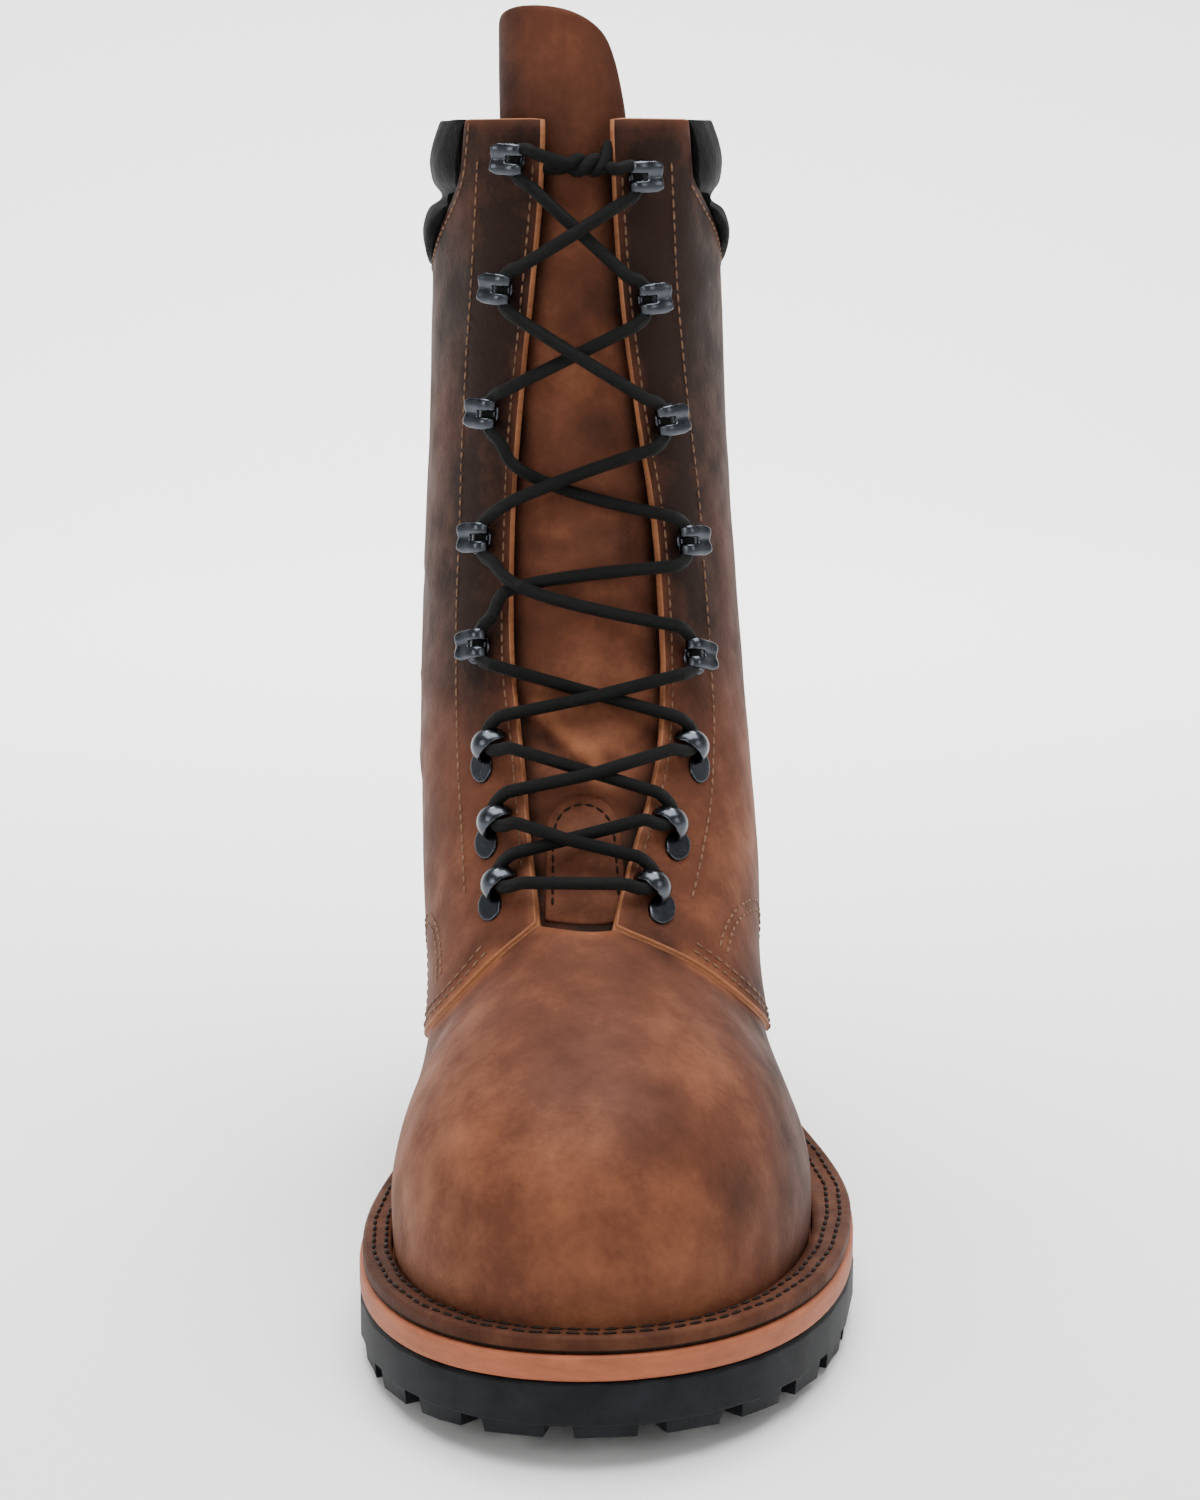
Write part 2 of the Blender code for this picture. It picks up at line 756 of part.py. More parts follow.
@lru_cache(maxsize=None)
def throat_edge(up, side):
    """The eyestay's edge at a height, as (along, up)."""
    across = throat_shift(up) + side * throat_half(up)
    return front_point(across, up).y, up


@lru_cache(maxsize=None)
def quarter_edge(column, side):
    """The quarter's lower edge by column; its first columns cross the throat's base."""
    start = throat_edge(THROAT_BASE, side)
    if column < EDGE_COLUMN:
        ridge = front_along(THROAT_BASE)
        return mix(ridge, start[0], (column / EDGE_COLUMN) ** 2), THROAT_BASE
    edges = (Edge("throat", EDGE_COLUMN, *start),) + QUARTER_EDGE
    along, up = edge_curves(edges)
    return along(column), up(column)


@lru_cache(maxsize=None)
def top_line(column, side):
    corner = TAB_CORNER[side]
    tab = (
        Edge("throat", EDGE_COLUMN, *throat_edge(COLLAR_UP, side)),
        Edge("tab corner", 5, corner, COLLAR_UP),
        Edge("tab foot", 6, corner - TAB_LEAN, COLLAR_UP - TAB_DROP),
    )
    along, up = edge_curves(tab + TOP_LINE)
    return along(column), up(column)


def patch(bottom, top, front, back, t, row, fade=1.0):
    """A point of a four-sided patch in the side view."""
    result = []
    for k in range(2):
        straight = mix(bottom[k], top[k], row)
        lead = front(row)[k] - mix(front(0.0)[k], front(1.0)[k], row)
        trail = back(row)[k] - mix(back(0.0)[k], back(1.0)[k], row)
        result.append(straight + (1.0 - t) ** fade * lead + t**fade * trail)
    return result


def lower_point(column, row, side):
    """The vamp and heel, from the feather line to the quarter's edge."""
    feather = FEATHER_LINE(column)
    bottom = (feather, feather_up(feather))
    top = quarter_edge(column, side)
    toe = feather_up(UPPER_TOE)
    seat = feather_up(0.0)
    heel = QUARTER_EDGE[-1].up

    def ridge(part):
        up = mix(toe, THROAT_BASE, part)
        eased = mix(up, ridge_up(mix(UPPER_TOE, front_along(THROAT_BASE), part)), smoothstep(0.0, 1.0, part))
        return front_along(eased), eased

    def back(part):
        up = mix(seat, heel, part)
        return back_along(up), up

    along, up = patch(bottom, top, ridge, back, (column / BACK_COLUMN) ** 1.2, row, 3.0)
    if column == 0:
        return (centre_line(along), along, up)
    if column == BACK_COLUMN:
        return (0.0, along, up)
    return upper_point(along, up, side)


def quarter_point(column, row, side):
    """Quarter and eyestay, from the quarter's edge to the top line."""
    bottom = quarter_edge(column, side)
    top = top_line(column, side)
    heel = QUARTER_EDGE[-1].up
    back_top = TOP_LINE[-1].up

    def front(part):
        return throat_edge(mix(THROAT_BASE, COLLAR_UP, part), side)

    def back(part):
        up = mix(heel, back_top, part)
        return back_along(up), up

    t = (column - EDGE_COLUMN) / (BACK_COLUMN - EDGE_COLUMN)
    along, up = patch(bottom, top, front, back, t, row)
    if column == BACK_COLUMN:
        return (0.0, along, up)
    if column == EDGE_COLUMN:
        across = throat_shift(up) + side * throat_half(up)
        return tuple(front_point(across, up))
    return upper_point(along, up, side)


def upper_columns():
    """Grid columns round the boot, from the inner side's back over the front to the outer side's back."""
    inner = [(k, INNER) for k in range(BACK_COLUMN, 0, -1)]
    outer = [(k, OUTER) for k in range(0, BACK_COLUMN)]
    return inner + outer


def make_upper(leather):
    columns = upper_columns()
    count = len(columns)
    skin = bmesh.new()
    lower = []
    for r in range(LOWER_ROWS + 1):
        lower.append([skin.verts.new(lower_point(k, r / LOWER_ROWS, side)) for k, side in columns])
    quarter = [lower[-1]]
    for r in range(1, QUARTER_ROWS + 1):
        row = []
        for k, side in columns:
            inside = k >= EDGE_COLUMN
            row.append(skin.verts.new(quarter_point(k, r / QUARTER_ROWS, side)) if inside else None)
        quarter.append(row)
    for rows in (lower, quarter):
        for below, above in zip(rows, rows[1:]):
            for i in range(count):
                j = (i + 1) % count
                corners = (below[i], below[j], above[j], above[i])
                if None not in corners:
                    skin.faces.new(corners)
    bmesh.ops.recalc_face_normals(skin, faces=skin.faces)
    skin.normal_update()
    middle = sum((v.co for v in skin.verts), Vector()) / len(skin.verts)
    probe = quarter[QUARTER_ROWS // 2][0]
    flip = -1.0 if probe.normal.dot(probe.co - middle) < 0.0 else 1.0

    def moved(vertex, out):
        return vertex.co + vertex.normal * (flip * out)

    mesh = bmesh.new()

    def layer(rows, out):
        made = []
        for r, row in enumerate(rows):
            line = []
            for vertex in row:
                line.append(None if vertex is None else mesh.verts.new(place(moved(vertex, out(r)))))
            made.append(line)
        return made

    def quarter_inside(r):
        return mix(-WALL, QUARTER_STEP - QUARTER_WALL, smoothstep(0.0, 3.0, r))

    low_out = layer(lower, lambda r: 0.0)
    low_in = layer(lower, lambda r: -WALL)
    quarter_out = layer(quarter, lambda r: QUARTER_STEP)
    quarter_in = [low_in[-1]] + layer(quarter[1:], lambda r: quarter_inside(r + 1))
    for i in range(count):
        if columns[i][0] < EDGE_COLUMN:
            mesh.verts.remove(quarter_out[0][i])
            quarter_out[0][i] = None

    def sheet(rows):
        for below, above in zip(rows, rows[1:]):
            for i in range(count):
                j = (i + 1) % count
                corners = (below[i], below[j], above[j], above[i])
                if None not in corners:
                    mesh.faces.new(corners)

    def rim(first, second):
        for i in range(count):
            j = (i + 1) % count
            corners = (first[i], first[j], second[j], second[i])
            if None not in corners:
                mesh.faces.new(corners)

    for rows in (low_out, low_in, quarter_out, quarter_in):
        sheet(rows)
    rim(low_out[0], low_in[0])
    rim(quarter_out[-1], quarter_in[-1])
    rim(low_out[-1], quarter_out[0])
    for i, (k, side) in enumerate(columns):
        j = (i + 1) % count
        if k < EDGE_COLUMN or columns[j][0] < EDGE_COLUMN:
            mesh.faces.new((low_out[-1][i], low_out[-1][j], low_in[-1][j], low_in[-1][i]))
        if k == EDGE_COLUMN:
            mesh.faces.new((low_out[-1][i], quarter_out[0][i], quarter_in[0][i]))
            for r in range(QUARTER_ROWS):
                mesh.faces.new(
                    (quarter_out[r][i], quarter_out[r + 1][i], quarter_in[r + 1][i], quarter_in[r][i])
                )
    skin.free()
    return finish("upper", mesh, leather)


# Collar pad and tongue


def pad_roll(up):
    """How far the pad's two rolls stand out of the upper's line at a height."""
    low, high = TOP_LINE[-1].up, COLLAR_UP
    if up < PAD_GROOVE_UP:
        t = (up - low) / (PAD_GROOVE_UP - low)
        return -0.8 + 4.2 * math.sqrt(max(0.0, 1.0 - (2.0 * t - 1.0) ** 2))
    t = (up - PAD_GROOVE_UP) / (high - PAD_GROOVE_UP)
    return -0.8 + 2.2 * math.sqrt(max(0.0, 1.0 - (2.0 * t - 1.0) ** 2))


def pad_normal(along, up, side):
    if along >= back_along(up) + LEG_ARC:
        slope = (half_width(along + 0.5, up, side) - half_width(along - 0.5, up, side)) / 1.0
        return Vector((side, -slope, 0.0)).normalized()
    start = back_along(up)
    if along - start < 0.05:
        return Vector((0.0, -1.0, 0.0))
    step = min(0.4, 0.5 * (along - start))
    slope = (half_width(along + step, up, side) - half_width(along - step, up, side)) / (2.0 * step)
    return Vector((side, -slope, 0.0)).normalized()


def make_collar_pad(black):
    """The padded collar on the leather's top line, from eyestay to eyestay round the back."""
    parts = (0.0, 0.14, 0.3, 0.44, 0.56, 0.7, 0.86, 1.0)
    columns = [(k, INNER) for k in range(6, BACK_COLUMN + 1)]
    columns += [(k, OUTER) for k in range(BACK_COLUMN - 1, 5, -1)]
    mesh = bmesh.new()
    rings = []
    for k, side in columns:
        along, low = top_line(k, side)
        low += 2.2 * GAP
        if k == 6:
            along -= PAD_END_CLEAR
        ring = []
        for part in parts:
            up = mix(low, COLLAR_UP, part)
            station = max(along, back_along(up)) if k < BACK_COLUMN else back_along(up)
            base = Vector(upper_point(station, up, side)) if k < BACK_COLUMN else Vector((0.0, station, up))
            ring.append((base, pad_normal(station, up, side), pad_roll(up)))
        outer = [base + normal * out for base, normal, out in ring]
        most = PAD_END_DEEP.get(k, PAD_DEEP)
        deep = [(part, most * (1.0 - 0.29 * abs(2.0 * part - 1.0) ** 3)) for part in parts[::-2]]
        inner = []
        for part, depth in deep:
            up = mix(low, COLLAR_UP, part)
            station = max(along, back_along(up)) if k < BACK_COLUMN else back_along(up)
            base = Vector(upper_point(station, up, side)) if k < BACK_COLUMN else Vector((0.0, station, up))
            inner.append(base - pad_normal(station, up, side) * depth)
        rings.append(add_loop(mesh, outer + inner))
    for first, second in zip(rings, rings[1:]):
        bridge(mesh, first, second)
    mesh.faces.new(rings[0])
    mesh.faces.new(rings[-1])
    finish("collar_pad", mesh, black)


tongue_half = Curve(
    [(95.0, 12.5), (108.0, 18.0), (125.0, 24.0), (150.0, 29.0), (220.0, 28.0), (270.0, 25.5), (330.0, 25.5)]
)


def tongue_point(part, up):
    """The tongue's middle surface: under the eyestays, and rolled where it stands free."""
    wide = tongue_half(up)
    inside = WALL + 1.0 + 0.5 * TONGUE_THICK
    shift = throat_shift(up)
    flat = off_front(shift * 0.6 + part * wide, min(up, COLLAR_UP), -inside)
    if up > COLLAR_UP:
        flat.z = up
    free = smoothstep(252.0, 304.0, up)
    if free <= 0.0:
        return flat
    angle = (part * wide - 7.0) / TONGUE_ROLL
    crown = front_along(COLLAR_UP) - inside - 1.5
    rolled = Vector((-4.4 + TONGUE_ROLL * math.sin(angle), crown - TONGUE_ROLL * (1.0 - math.cos(angle)), up))
    return flat.lerp(rolled, free)


def make_tongue(leather):
    columns = [mix(-1.0, 1.0, i / 10.0) for i in range(11)]
    levels = [95.5, 98.5, 103.0, 110.0, 118.0, 127.0, 137.0, 148.0, 160.0, 174.0, 190.0, 206.0]
    levels += [222.0, 238.0, 252.0, 264.0, 275.0, 285.0]
    crown_rows = 6
    mesh = bmesh.new()
    rows = []
    for up in levels:
        rows.append([mesh.verts.new(place(tongue_point(part, up))) for part in columns])
    for r in range(1, crown_rows + 1):
        row = []
        for part in columns:
            bow = max(0.0, 1.0 - abs(part + 0.1) ** 2.4 / 1.26) ** 0.5
            top = mix(COLLAR_UP + 2.0, TONGUE_TOP, bow)
            row.append(mesh.verts.new(place(tongue_point(part, mix(levels[-1], top, r / crown_rows)))))
        rows.append(row)
    for below, above in zip(rows, rows[1:]):
        for i in range(len(columns) - 1):
            mesh.faces.new((below[i], below[i + 1], above[i + 1], above[i]))
    tongue = finish("tongue", mesh, leather)
    thick = tongue.modifiers.new("thickness", "SOLIDIFY")
    thick.thickness = TONGUE_THICK * MM
    thick.offset = 0.0
    thick.use_even_offset = False


# Hooks, loops and lace


def fixing_up(fixing, side):
    return fixing.outer_up if side == OUTER else fixing.inner_up


def on_fixing(fixing, side, out, high, off):
    """A point of a hook or loop: out to the boot's side, high along the eyestay, off its leather."""
    up = fixing_up(fixing, side)
    across = throat_shift(up) + side * (throat_half(up) + fixing.out)
    _, _, step_across, step_up = front_frame(across, up)
    return off_front(across + side * out / step_across, up + high / step_up, QUARTER_STEP + FIXING_GAP + off)


def strap(name, fixing, side, cells, widths, keep, metal):
    """A bent strip: profile cells (out, off) swept over bands along the eyestay; keep says which exist."""
    mesh = bmesh.new()
    bands = list(zip(widths, widths[1:]))
    made = {}

    def vertex(cell, rail, level):
        key = (cell, rail, level)
        if key not in made:
            out, off = cells[cell][rail]
            made[key] = mesh.verts.new(place(on_fixing(fixing, side, out, level, off)))
        return made[key]

    def exists(cell, band):
        return 0 <= cell < len(cells) - 1 and 0 <= band < len(bands) and keep(cell, band)

    for cell in range(len(cells) - 1):
        for band, (low, high) in enumerate(bands):
            if not exists(cell, band):
                continue
            for rail in (0, 1):
                mesh.faces.new([vertex(cell, rail, low), vertex(cell + 1, rail, low),
                                vertex(cell + 1, rail, high), vertex(cell, rail, high)])
            for other, level in ((band - 1, low), (band + 1, high)):
                if not exists(cell, other):
                    mesh.faces.new([vertex(cell, 0, level), vertex(cell + 1, 0, level),
                                    vertex(cell + 1, 1, level), vertex(cell, 1, level)])
            for other, edge in ((cell - 1, cell), (cell + 1, cell + 1)):
                if not exists(other, band):
                    mesh.faces.new([vertex(edge, 0, low), vertex(edge, 0, high),
                                    vertex(edge, 1, high), vertex(edge, 1, low)])
    finish(name, mesh, metal, smooth=False)


def rails(line):
    """Inner and outer rail of a strip of metal on a line of (out, off) points."""
    points = [Vector(p) for p in line]
    result = []
    for i, point in enumerate(points):
        ahead = points[min(i + 1, len(points) - 1)] - points[max(i - 1, 0)]
        aside = Vector((-ahead.y, ahead.x)).normalized() * (0.5 * METAL_THICK)
        result.append((tuple(point - aside), tuple(point + aside)))
    return result


def make_hook(fixing, side, metal):
    """Base plate on the leather, a bend on the throat's side and two prongs that point away from it."""
    half = 0.5 * METAL_THICK
    line = [(5.0, half), (-1.6, half), (-3.6, 1.2), (-4.3, 3.1)]
    line += [(-3.4, 5.1), (-1.4, 6.0), (2.2, 5.8), (4.8, 6.6)]
    names = {OUTER: "outer", INNER: "inner"}
    strap(f"lace_hook_{names[side]}_{fixing.name}", fixing, side, rails(line), (-4.6, -1.0, 1.0, 4.6),
          lambda cell, band: cell < 3 or band != 1, metal)


def make_loop(fixing, side, metal):
    """An arch over the lace with its tail riveted on the outer side."""
    half = 0.5 * METAL_THICK
    line = [(12.5, half), (5.9, half), (5.0, 2.5), (3.2, 5.2)]
    line += [(0.2, 6.3), (-2.8, 5.4), (-4.5, 2.9), (-4.9, half)]
    names = {OUTER: "outer", INNER: "inner"}
    strap(f"lace_loop_{names[side]}_{fixing.name}", fixing, side, rails(line), (-4.4, 4.4),
          lambda cell, band: True, metal)


def lace_point(fixing, side, high, inward, off):
    """A lace point near a fixing: high along the eyestay, inward towards the throat, off the leather."""
    return on_fixing(fixing, side, -inward, high, off)


def lace_end(fixing, side, rises):
    """Where a strand leaves a fixing, as two points: beside it and over the eyestay's edge."""
    if fixing in LOOPS:
        high, spots = rises * 3.2, ((6.8, 3.0), (8.6, 3.6))
    else:
        high, spots = rises * 7.6, ((0.8, 3.4), (fixing.out, 3.9))
    return [lace_point(fixing, side, high, inward, off) for inward, off in spots]


def strand(start, end, out):
    """A lace strand between the ends at two fixings, standing clear of the tongue in the middle."""
    level = 0.5 * (start[1].z + end[1].z)
    middle = off_front(throat_shift(level), level, out)
    return smooth_path(start + [middle] + end[::-1], 2)


def make_lace(name, path, cord):
    mesh = bmesh.new()
    tube(mesh, path, LACE_RADIUS, LACE_SIDES)
    return finish(name, mesh, cord)


def make_laces(cord):
    rows = LOOPS[::-1] + HOOKS[::-1]
    make_lace("lace_bar", strand(lace_end(rows[0], INNER, -1.0), lace_end(rows[0], OUTER, -1.0), 3.6), cord)
    for k, (lower, upper) in enumerate(zip(rows, rows[1:]), 1):
        over = strand(lace_end(lower, INNER, 1.0), lace_end(upper, OUTER, -1.0), 3.4)
        under = strand(lace_end(lower, OUTER, 1.0), lace_end(upper, INNER, -1.0), 3.4)
        cross = make_lace(f"lace_cross_{k}", over, cord)
        combine(cross, [make_lace(f"lace_under_{k}", under, cord)], "UNION")
    make_lace("lace_knot", strand(lace_end(rows[-1], INNER, 0.9), lace_end(rows[-1], OUTER, 0.9), 5.0), cord)


for leftover in list(bpy.data.objects):
    bpy.data.objects.remove(leftover)
BOOT = bpy.data.objects.new("work_boot", None)
bpy.context.scene.collection.objects.link(BOOT)

BROWN = material("leather_brown", (0.17, 0.065, 0.028), 0.5)
TAN = material("leather_tan", (0.42, 0.17, 0.08), 0.55)
BLACK = material("leather_black", (0.012, 0.012, 0.013), 0.4)
RUBBER = material("rubber_black", (0.016, 0.017, 0.019), 0.65)
CORD = material("lace_black", (0.008, 0.008, 0.008), 0.8)
METAL = material("metal_black", (0.05, 0.052, 0.056), 0.25, 1.0)

make_outsole(RUBBER)
make_heel(RUBBER)
plate("midsole", sole_loop, OUTSOLE_THICK + GAP, OUTSOLE_THICK + GAP + MIDSOLE_THICK, TAN, 0.6)
make_welt(BROWN)
make_insole(TAN)
make_upper(BROWN)
make_collar_pad(BLACK)
make_tongue(BROWN)
for one_side in (OUTER, INNER):
    for hook in HOOKS:
        make_hook(hook, one_side, METAL)
    for loop in LOOPS:
        make_loop(loop, one_side, METAL)
make_laces(CORD)
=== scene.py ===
"""Tall lace-up work boot: the finished look of every piece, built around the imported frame."""

import math
from collections import namedtuple

import bmesh
import bpy
import numpy as np
from bpy.props import FloatProperty, FloatVectorProperty, IntProperty, PointerProperty
from mathutils import Matrix, Vector, noise
from mathutils.bvhtree import BVHTree


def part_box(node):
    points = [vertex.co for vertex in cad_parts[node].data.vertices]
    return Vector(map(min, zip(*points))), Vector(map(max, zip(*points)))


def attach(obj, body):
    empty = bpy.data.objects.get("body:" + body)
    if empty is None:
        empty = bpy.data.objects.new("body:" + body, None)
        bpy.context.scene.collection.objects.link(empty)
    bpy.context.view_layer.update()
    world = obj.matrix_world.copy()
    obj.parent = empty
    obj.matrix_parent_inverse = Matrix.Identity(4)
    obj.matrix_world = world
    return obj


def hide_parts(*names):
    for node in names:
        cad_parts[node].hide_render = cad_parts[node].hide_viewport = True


bl_info = {
    "name": "Work boot",
    "version": (1, 0, 0),
    "blender": (4, 5, 0),
    "location": "View3D > Sidebar > Boot",
    "description": "Builds the visible pieces of a lace-up work boot on its packed frame",
    "category": "Object",
}

MM = 0.001
OUTER = 1.0
INNER = -1.0
SIDE_NAMES = {OUTER: "outer", INNER: "inner"}

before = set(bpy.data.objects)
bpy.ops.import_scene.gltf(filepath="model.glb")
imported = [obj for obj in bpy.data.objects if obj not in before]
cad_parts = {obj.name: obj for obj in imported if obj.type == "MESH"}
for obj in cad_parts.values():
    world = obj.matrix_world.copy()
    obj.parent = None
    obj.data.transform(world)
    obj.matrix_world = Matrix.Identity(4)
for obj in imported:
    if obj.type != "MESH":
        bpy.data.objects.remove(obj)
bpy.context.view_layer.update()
HOOK_ROWS = 5
LOOP_ROWS = 3
BEFORE_ALL = -0.4  # a place in front of the whole boot
SAME_PLACE = 0.1 * MM
FLAT = np.array((1.0, 0.0, 1.0))  # keeps of a point what is seen from the front


def colour(code):
    """Linear RGBA of an sRGB hex colour."""
    channels = [int(code[i : i + 2], 16) / 255.0 for i in (0, 2, 4)]
    linear = [c / 12.92 if c <= 0.04045 else ((c + 0.055) / 1.055) ** 2.4 for c in channels]
    return (*linear, 1.0)


def swatch(name, code, text):
    return FloatVectorProperty(name=name, description=text, subtype="COLOR", size=4, min=0.0, max=1.0,
                               default=colour(code))


def length(name, metres, text):
    return FloatProperty(name=name, description=text, default=metres, min=0.0, unit="LENGTH", precision=5)


class BootColours(bpy.types.PropertyGroup):
    leather_dark: swatch("Leather, dark", "22140F", "Oil-dark patches of the brown leather")
    leather_mid: swatch("Leather", "563122", "Main brown of the leather")
    leather_light: swatch("Leather, light", "815036", "Pulled-up, lighter parts of the leather")
    leather_edge: swatch("Cut edge", "8C5A3C", "Raw cut edges of the leather")
    lining: swatch("Lining", "6B4A35", "Inside of the shaft")
    board: swatch("Midsole", "8C5036", "Tan leather of the midsole")
    collar: swatch("Collar", "0A0A0B", "Padded collar's black leather")
    rubber: swatch("Rubber", "101215", "Outsole and heel")
    lace: swatch("Lace", "0B0C0B", "Braided lace")
    metal: swatch("Black nickel", "474A50", "Hooks and loops")
    thread: swatch("Thread", "6E523F", "Seam thread")
    # this colour also paints the welt's dark edge: its edge dressing and painted shade of the gap between
    # welt and midsole
    welt_thread: swatch("Welt thread", "1C120D", "Waxed thread of the welt")
    floor: swatch("Floor", "F8F8F7", "Studio floor")


class BootSizes(bpy.types.PropertyGroup):
    lace_thick: length("Lace thickness", 3.4 * MM, "Diameter of the round lace")
    stitch_pitch: length("Stitch pitch", 3.1 * MM, "From stitch to stitch on the upper")
    thread_thick: length("Thread thickness", 0.75 * MM, "Diameter of the upper's thread")
    welt_pitch: length("Welt stitch pitch", 4.2 * MM, "From stitch to stitch on the welt")
    welt_thread_thick: length("Welt thread thickness", 1.1 * MM, "Diameter of the welt's thread")
    metal_thick: length("Metal thickness", 1.1 * MM, "Sheet that hooks and loops are bent from")
    leather_levels: IntProperty(name="Leather levels", description="Subdivisions of upper and tongue",
                                default=2, min=0, max=3)


def sizes():
    return bpy.context.scene.boot_sizes


def colours():
    return bpy.context.scene.boot_colours


# Materials


def feed(tree, node, **inputs):
    """Gives each input of a node a value, a socket or a node, whose first output is linked; _3 is input 3."""
    for key, value in inputs.items():
        socket = node.inputs[int(key[1:]) if key[1:].isdigit() else key.replace("_", " ")]
        if isinstance(value, bpy.types.Node):
            value = value.outputs[0]
        if isinstance(value, bpy.types.NodeSocket):
            tree.links.new(value, socket)
        else:
            socket.default_value = value


def add(tree, kind, settings=None, **inputs):
    """A node with its settings and its inputs."""
    made = tree.nodes.new(kind)
    for key, value in (settings or {}).items():
        if key == "stops":
            ramp = made.color_ramp.elements
            while len(ramp) < len(value):
                ramp.new(0.5)
            for element, (position, shade) in zip(ramp, value):
                element.position = position
                element.color = shade
        else:
            setattr(made, key, value)
    feed(tree, made, **inputs)
    return made


def new_material(name):
    """A material with an empty Principled shader, as (material, tree, shader)."""
    made = bpy.data.materials.new(name)
    made.use_nodes = True
    tree = made.node_tree
    return made, tree, tree.nodes["Principled BSDF"]


def scaled(shade, factor):
    return (*[min(1.0, c * factor) for c in shade[:3]], 1.0)


def tones(shade, *stops):
    """A ramp's stops in one shade, from pairs of position and brightness."""
    return [(position, scaled(shade, factor)) for position, factor in stops]


def oiled_leather(name, tint=1.0):
    """Oiled pull-up cowhide, waxed by hand: cloudy dark and light patches, fine pores, a soft waxy shine."""
    shades = colours()
    made, tree, shader = new_material(name)
    place = add(tree, "ShaderNodeTexCoord").outputs["Object"]
    total = add(tree, "ShaderNodeAttribute", {"attribute_name": "tone"}).outputs["Fac"]
    # clouds of 40 mm, mottling of 10 mm, streaks of 4 by 30 mm, pores of 0.9 mm and crinkles of 2 mm
    cloud = add(tree, "ShaderNodeTexNoise", Vector=place, Scale=25.0, Detail=3.0, Roughness=0.5)
    mottle = add(tree, "ShaderNodeTexNoise", Vector=place, Scale=100.0, Detail=4.0, Roughness=0.5)
    long_way = add(tree, "ShaderNodeMapping", Vector=place, Scale=(260.0, 260.0, 34.0))
    streak = add(tree, "ShaderNodeTexNoise", Vector=long_way, Scale=1.0, Detail=3.0)
    pores = add(tree, "ShaderNodeTexVoronoi", Vector=place, Scale=1100.0)
    crinkle = add(tree, "ShaderNodeTexNoise", Vector=place, Scale=520.0, Detail=3.0)
    for part, share in ((cloud, 0.46), (mottle, 0.22), (streak, 0.05), (crinkle, 0.13)):
        total = add(tree, "ShaderNodeMath", {"operation": "MULTIPLY_ADD"}, _0=part, _1=share, _2=total)
    # the sum of the noises above lies round 0.43
    stops = [(0.09, scaled(shades.leather_dark, tint)), (0.42, scaled(shades.leather_mid, tint)),
             (0.69, scaled(shades.leather_light, tint))]
    ramp = add(tree, "ShaderNodeValToRGB", {"stops": stops}, Fac=total)
    rough = add(tree, "ShaderNodeMapRange", Value=mottle, From_Min=0.3, From_Max=0.7,
                To_Min=0.72, To_Max=0.58)
    height = add(tree, "ShaderNodeMath", {"operation": "MULTIPLY_ADD"}, _0=pores.outputs["Distance"],
                 _1=0.5, _2=crinkle)
    bump = add(tree, "ShaderNodeBump", Strength=0.22, Distance=0.6 * MM, Height=height)
    feed(tree, shader, Base_Color=ramp, Roughness=rough, Normal=bump, Specular_IOR_Level=0.09)
    return made


def cut_leather(name, shade, streak_up):
    """Cut leather edge, sanded: pressed fibres seen end on, streaked along the cut, dull."""
    made, tree, shader = new_material(name)
    place = add(tree, "ShaderNodeTexCoord").outputs["Object"]
    # fibre streaks 1 to 2 mm high and 8 mm long, in patches of 17 mm
    turned = add(tree, "ShaderNodeMapping", Vector=place, Scale=(120.0, 120.0, streak_up))
    fibre = add(tree, "ShaderNodeTexNoise", Vector=turned, Scale=1.0, Detail=5.0, Roughness=0.65)
    patch = add(tree, "ShaderNodeTexNoise", Vector=place, Scale=60.0, Detail=3.0)
    total = add(tree, "ShaderNodeMath", {"operation": "MULTIPLY_ADD"}, _0=patch, _1=0.6, _2=fibre)
    ramp = add(tree, "ShaderNodeValToRGB", {"stops": tones(shade, (0.4, 0.72), (0.8, 1.0), (1.0, 1.18))},
               Fac=total)
    bump = add(tree, "ShaderNodeBump", Strength=0.35, Distance=0.5 * MM, Height=fibre)
    feed(tree, shader, Base_Color=ramp, Normal=bump, Roughness=0.62, Specular_IOR_Level=0.2)
    return made


def grained_leather(name, shade, roughness, shine):
    """Smooth garment leather, plated: round pebble grain of about 1.3 mm and an even satin shine."""
    made, tree, shader = new_material(name)
    place = add(tree, "ShaderNodeTexCoord").outputs["Object"]
    pebble = add(tree, "ShaderNodeTexVoronoi", {"feature": "SMOOTH_F1"}, Vector=place, Scale=780.0)
    # clouds of 14 mm
    cloud = add(tree, "ShaderNodeTexNoise", Vector=place, Scale=70.0, Detail=4.0)
    ramp = add(tree, "ShaderNodeValToRGB", {"stops": tones(shade, (0.35, 0.7), (0.7, 1.5))}, Fac=cloud)
    rough = add(tree, "ShaderNodeMapRange", Value=cloud, From_Min=0.3, From_Max=0.7,
                To_Min=roughness + 0.08, To_Max=roughness - 0.06)
    bump = add(tree, "ShaderNodeBump", Strength=0.28, Distance=0.5 * MM, Height=pebble.outputs["Distance"])
    feed(tree, shader, Base_Color=ramp, Roughness=rough, Normal=bump, Specular_IOR_Level=shine)
    return made


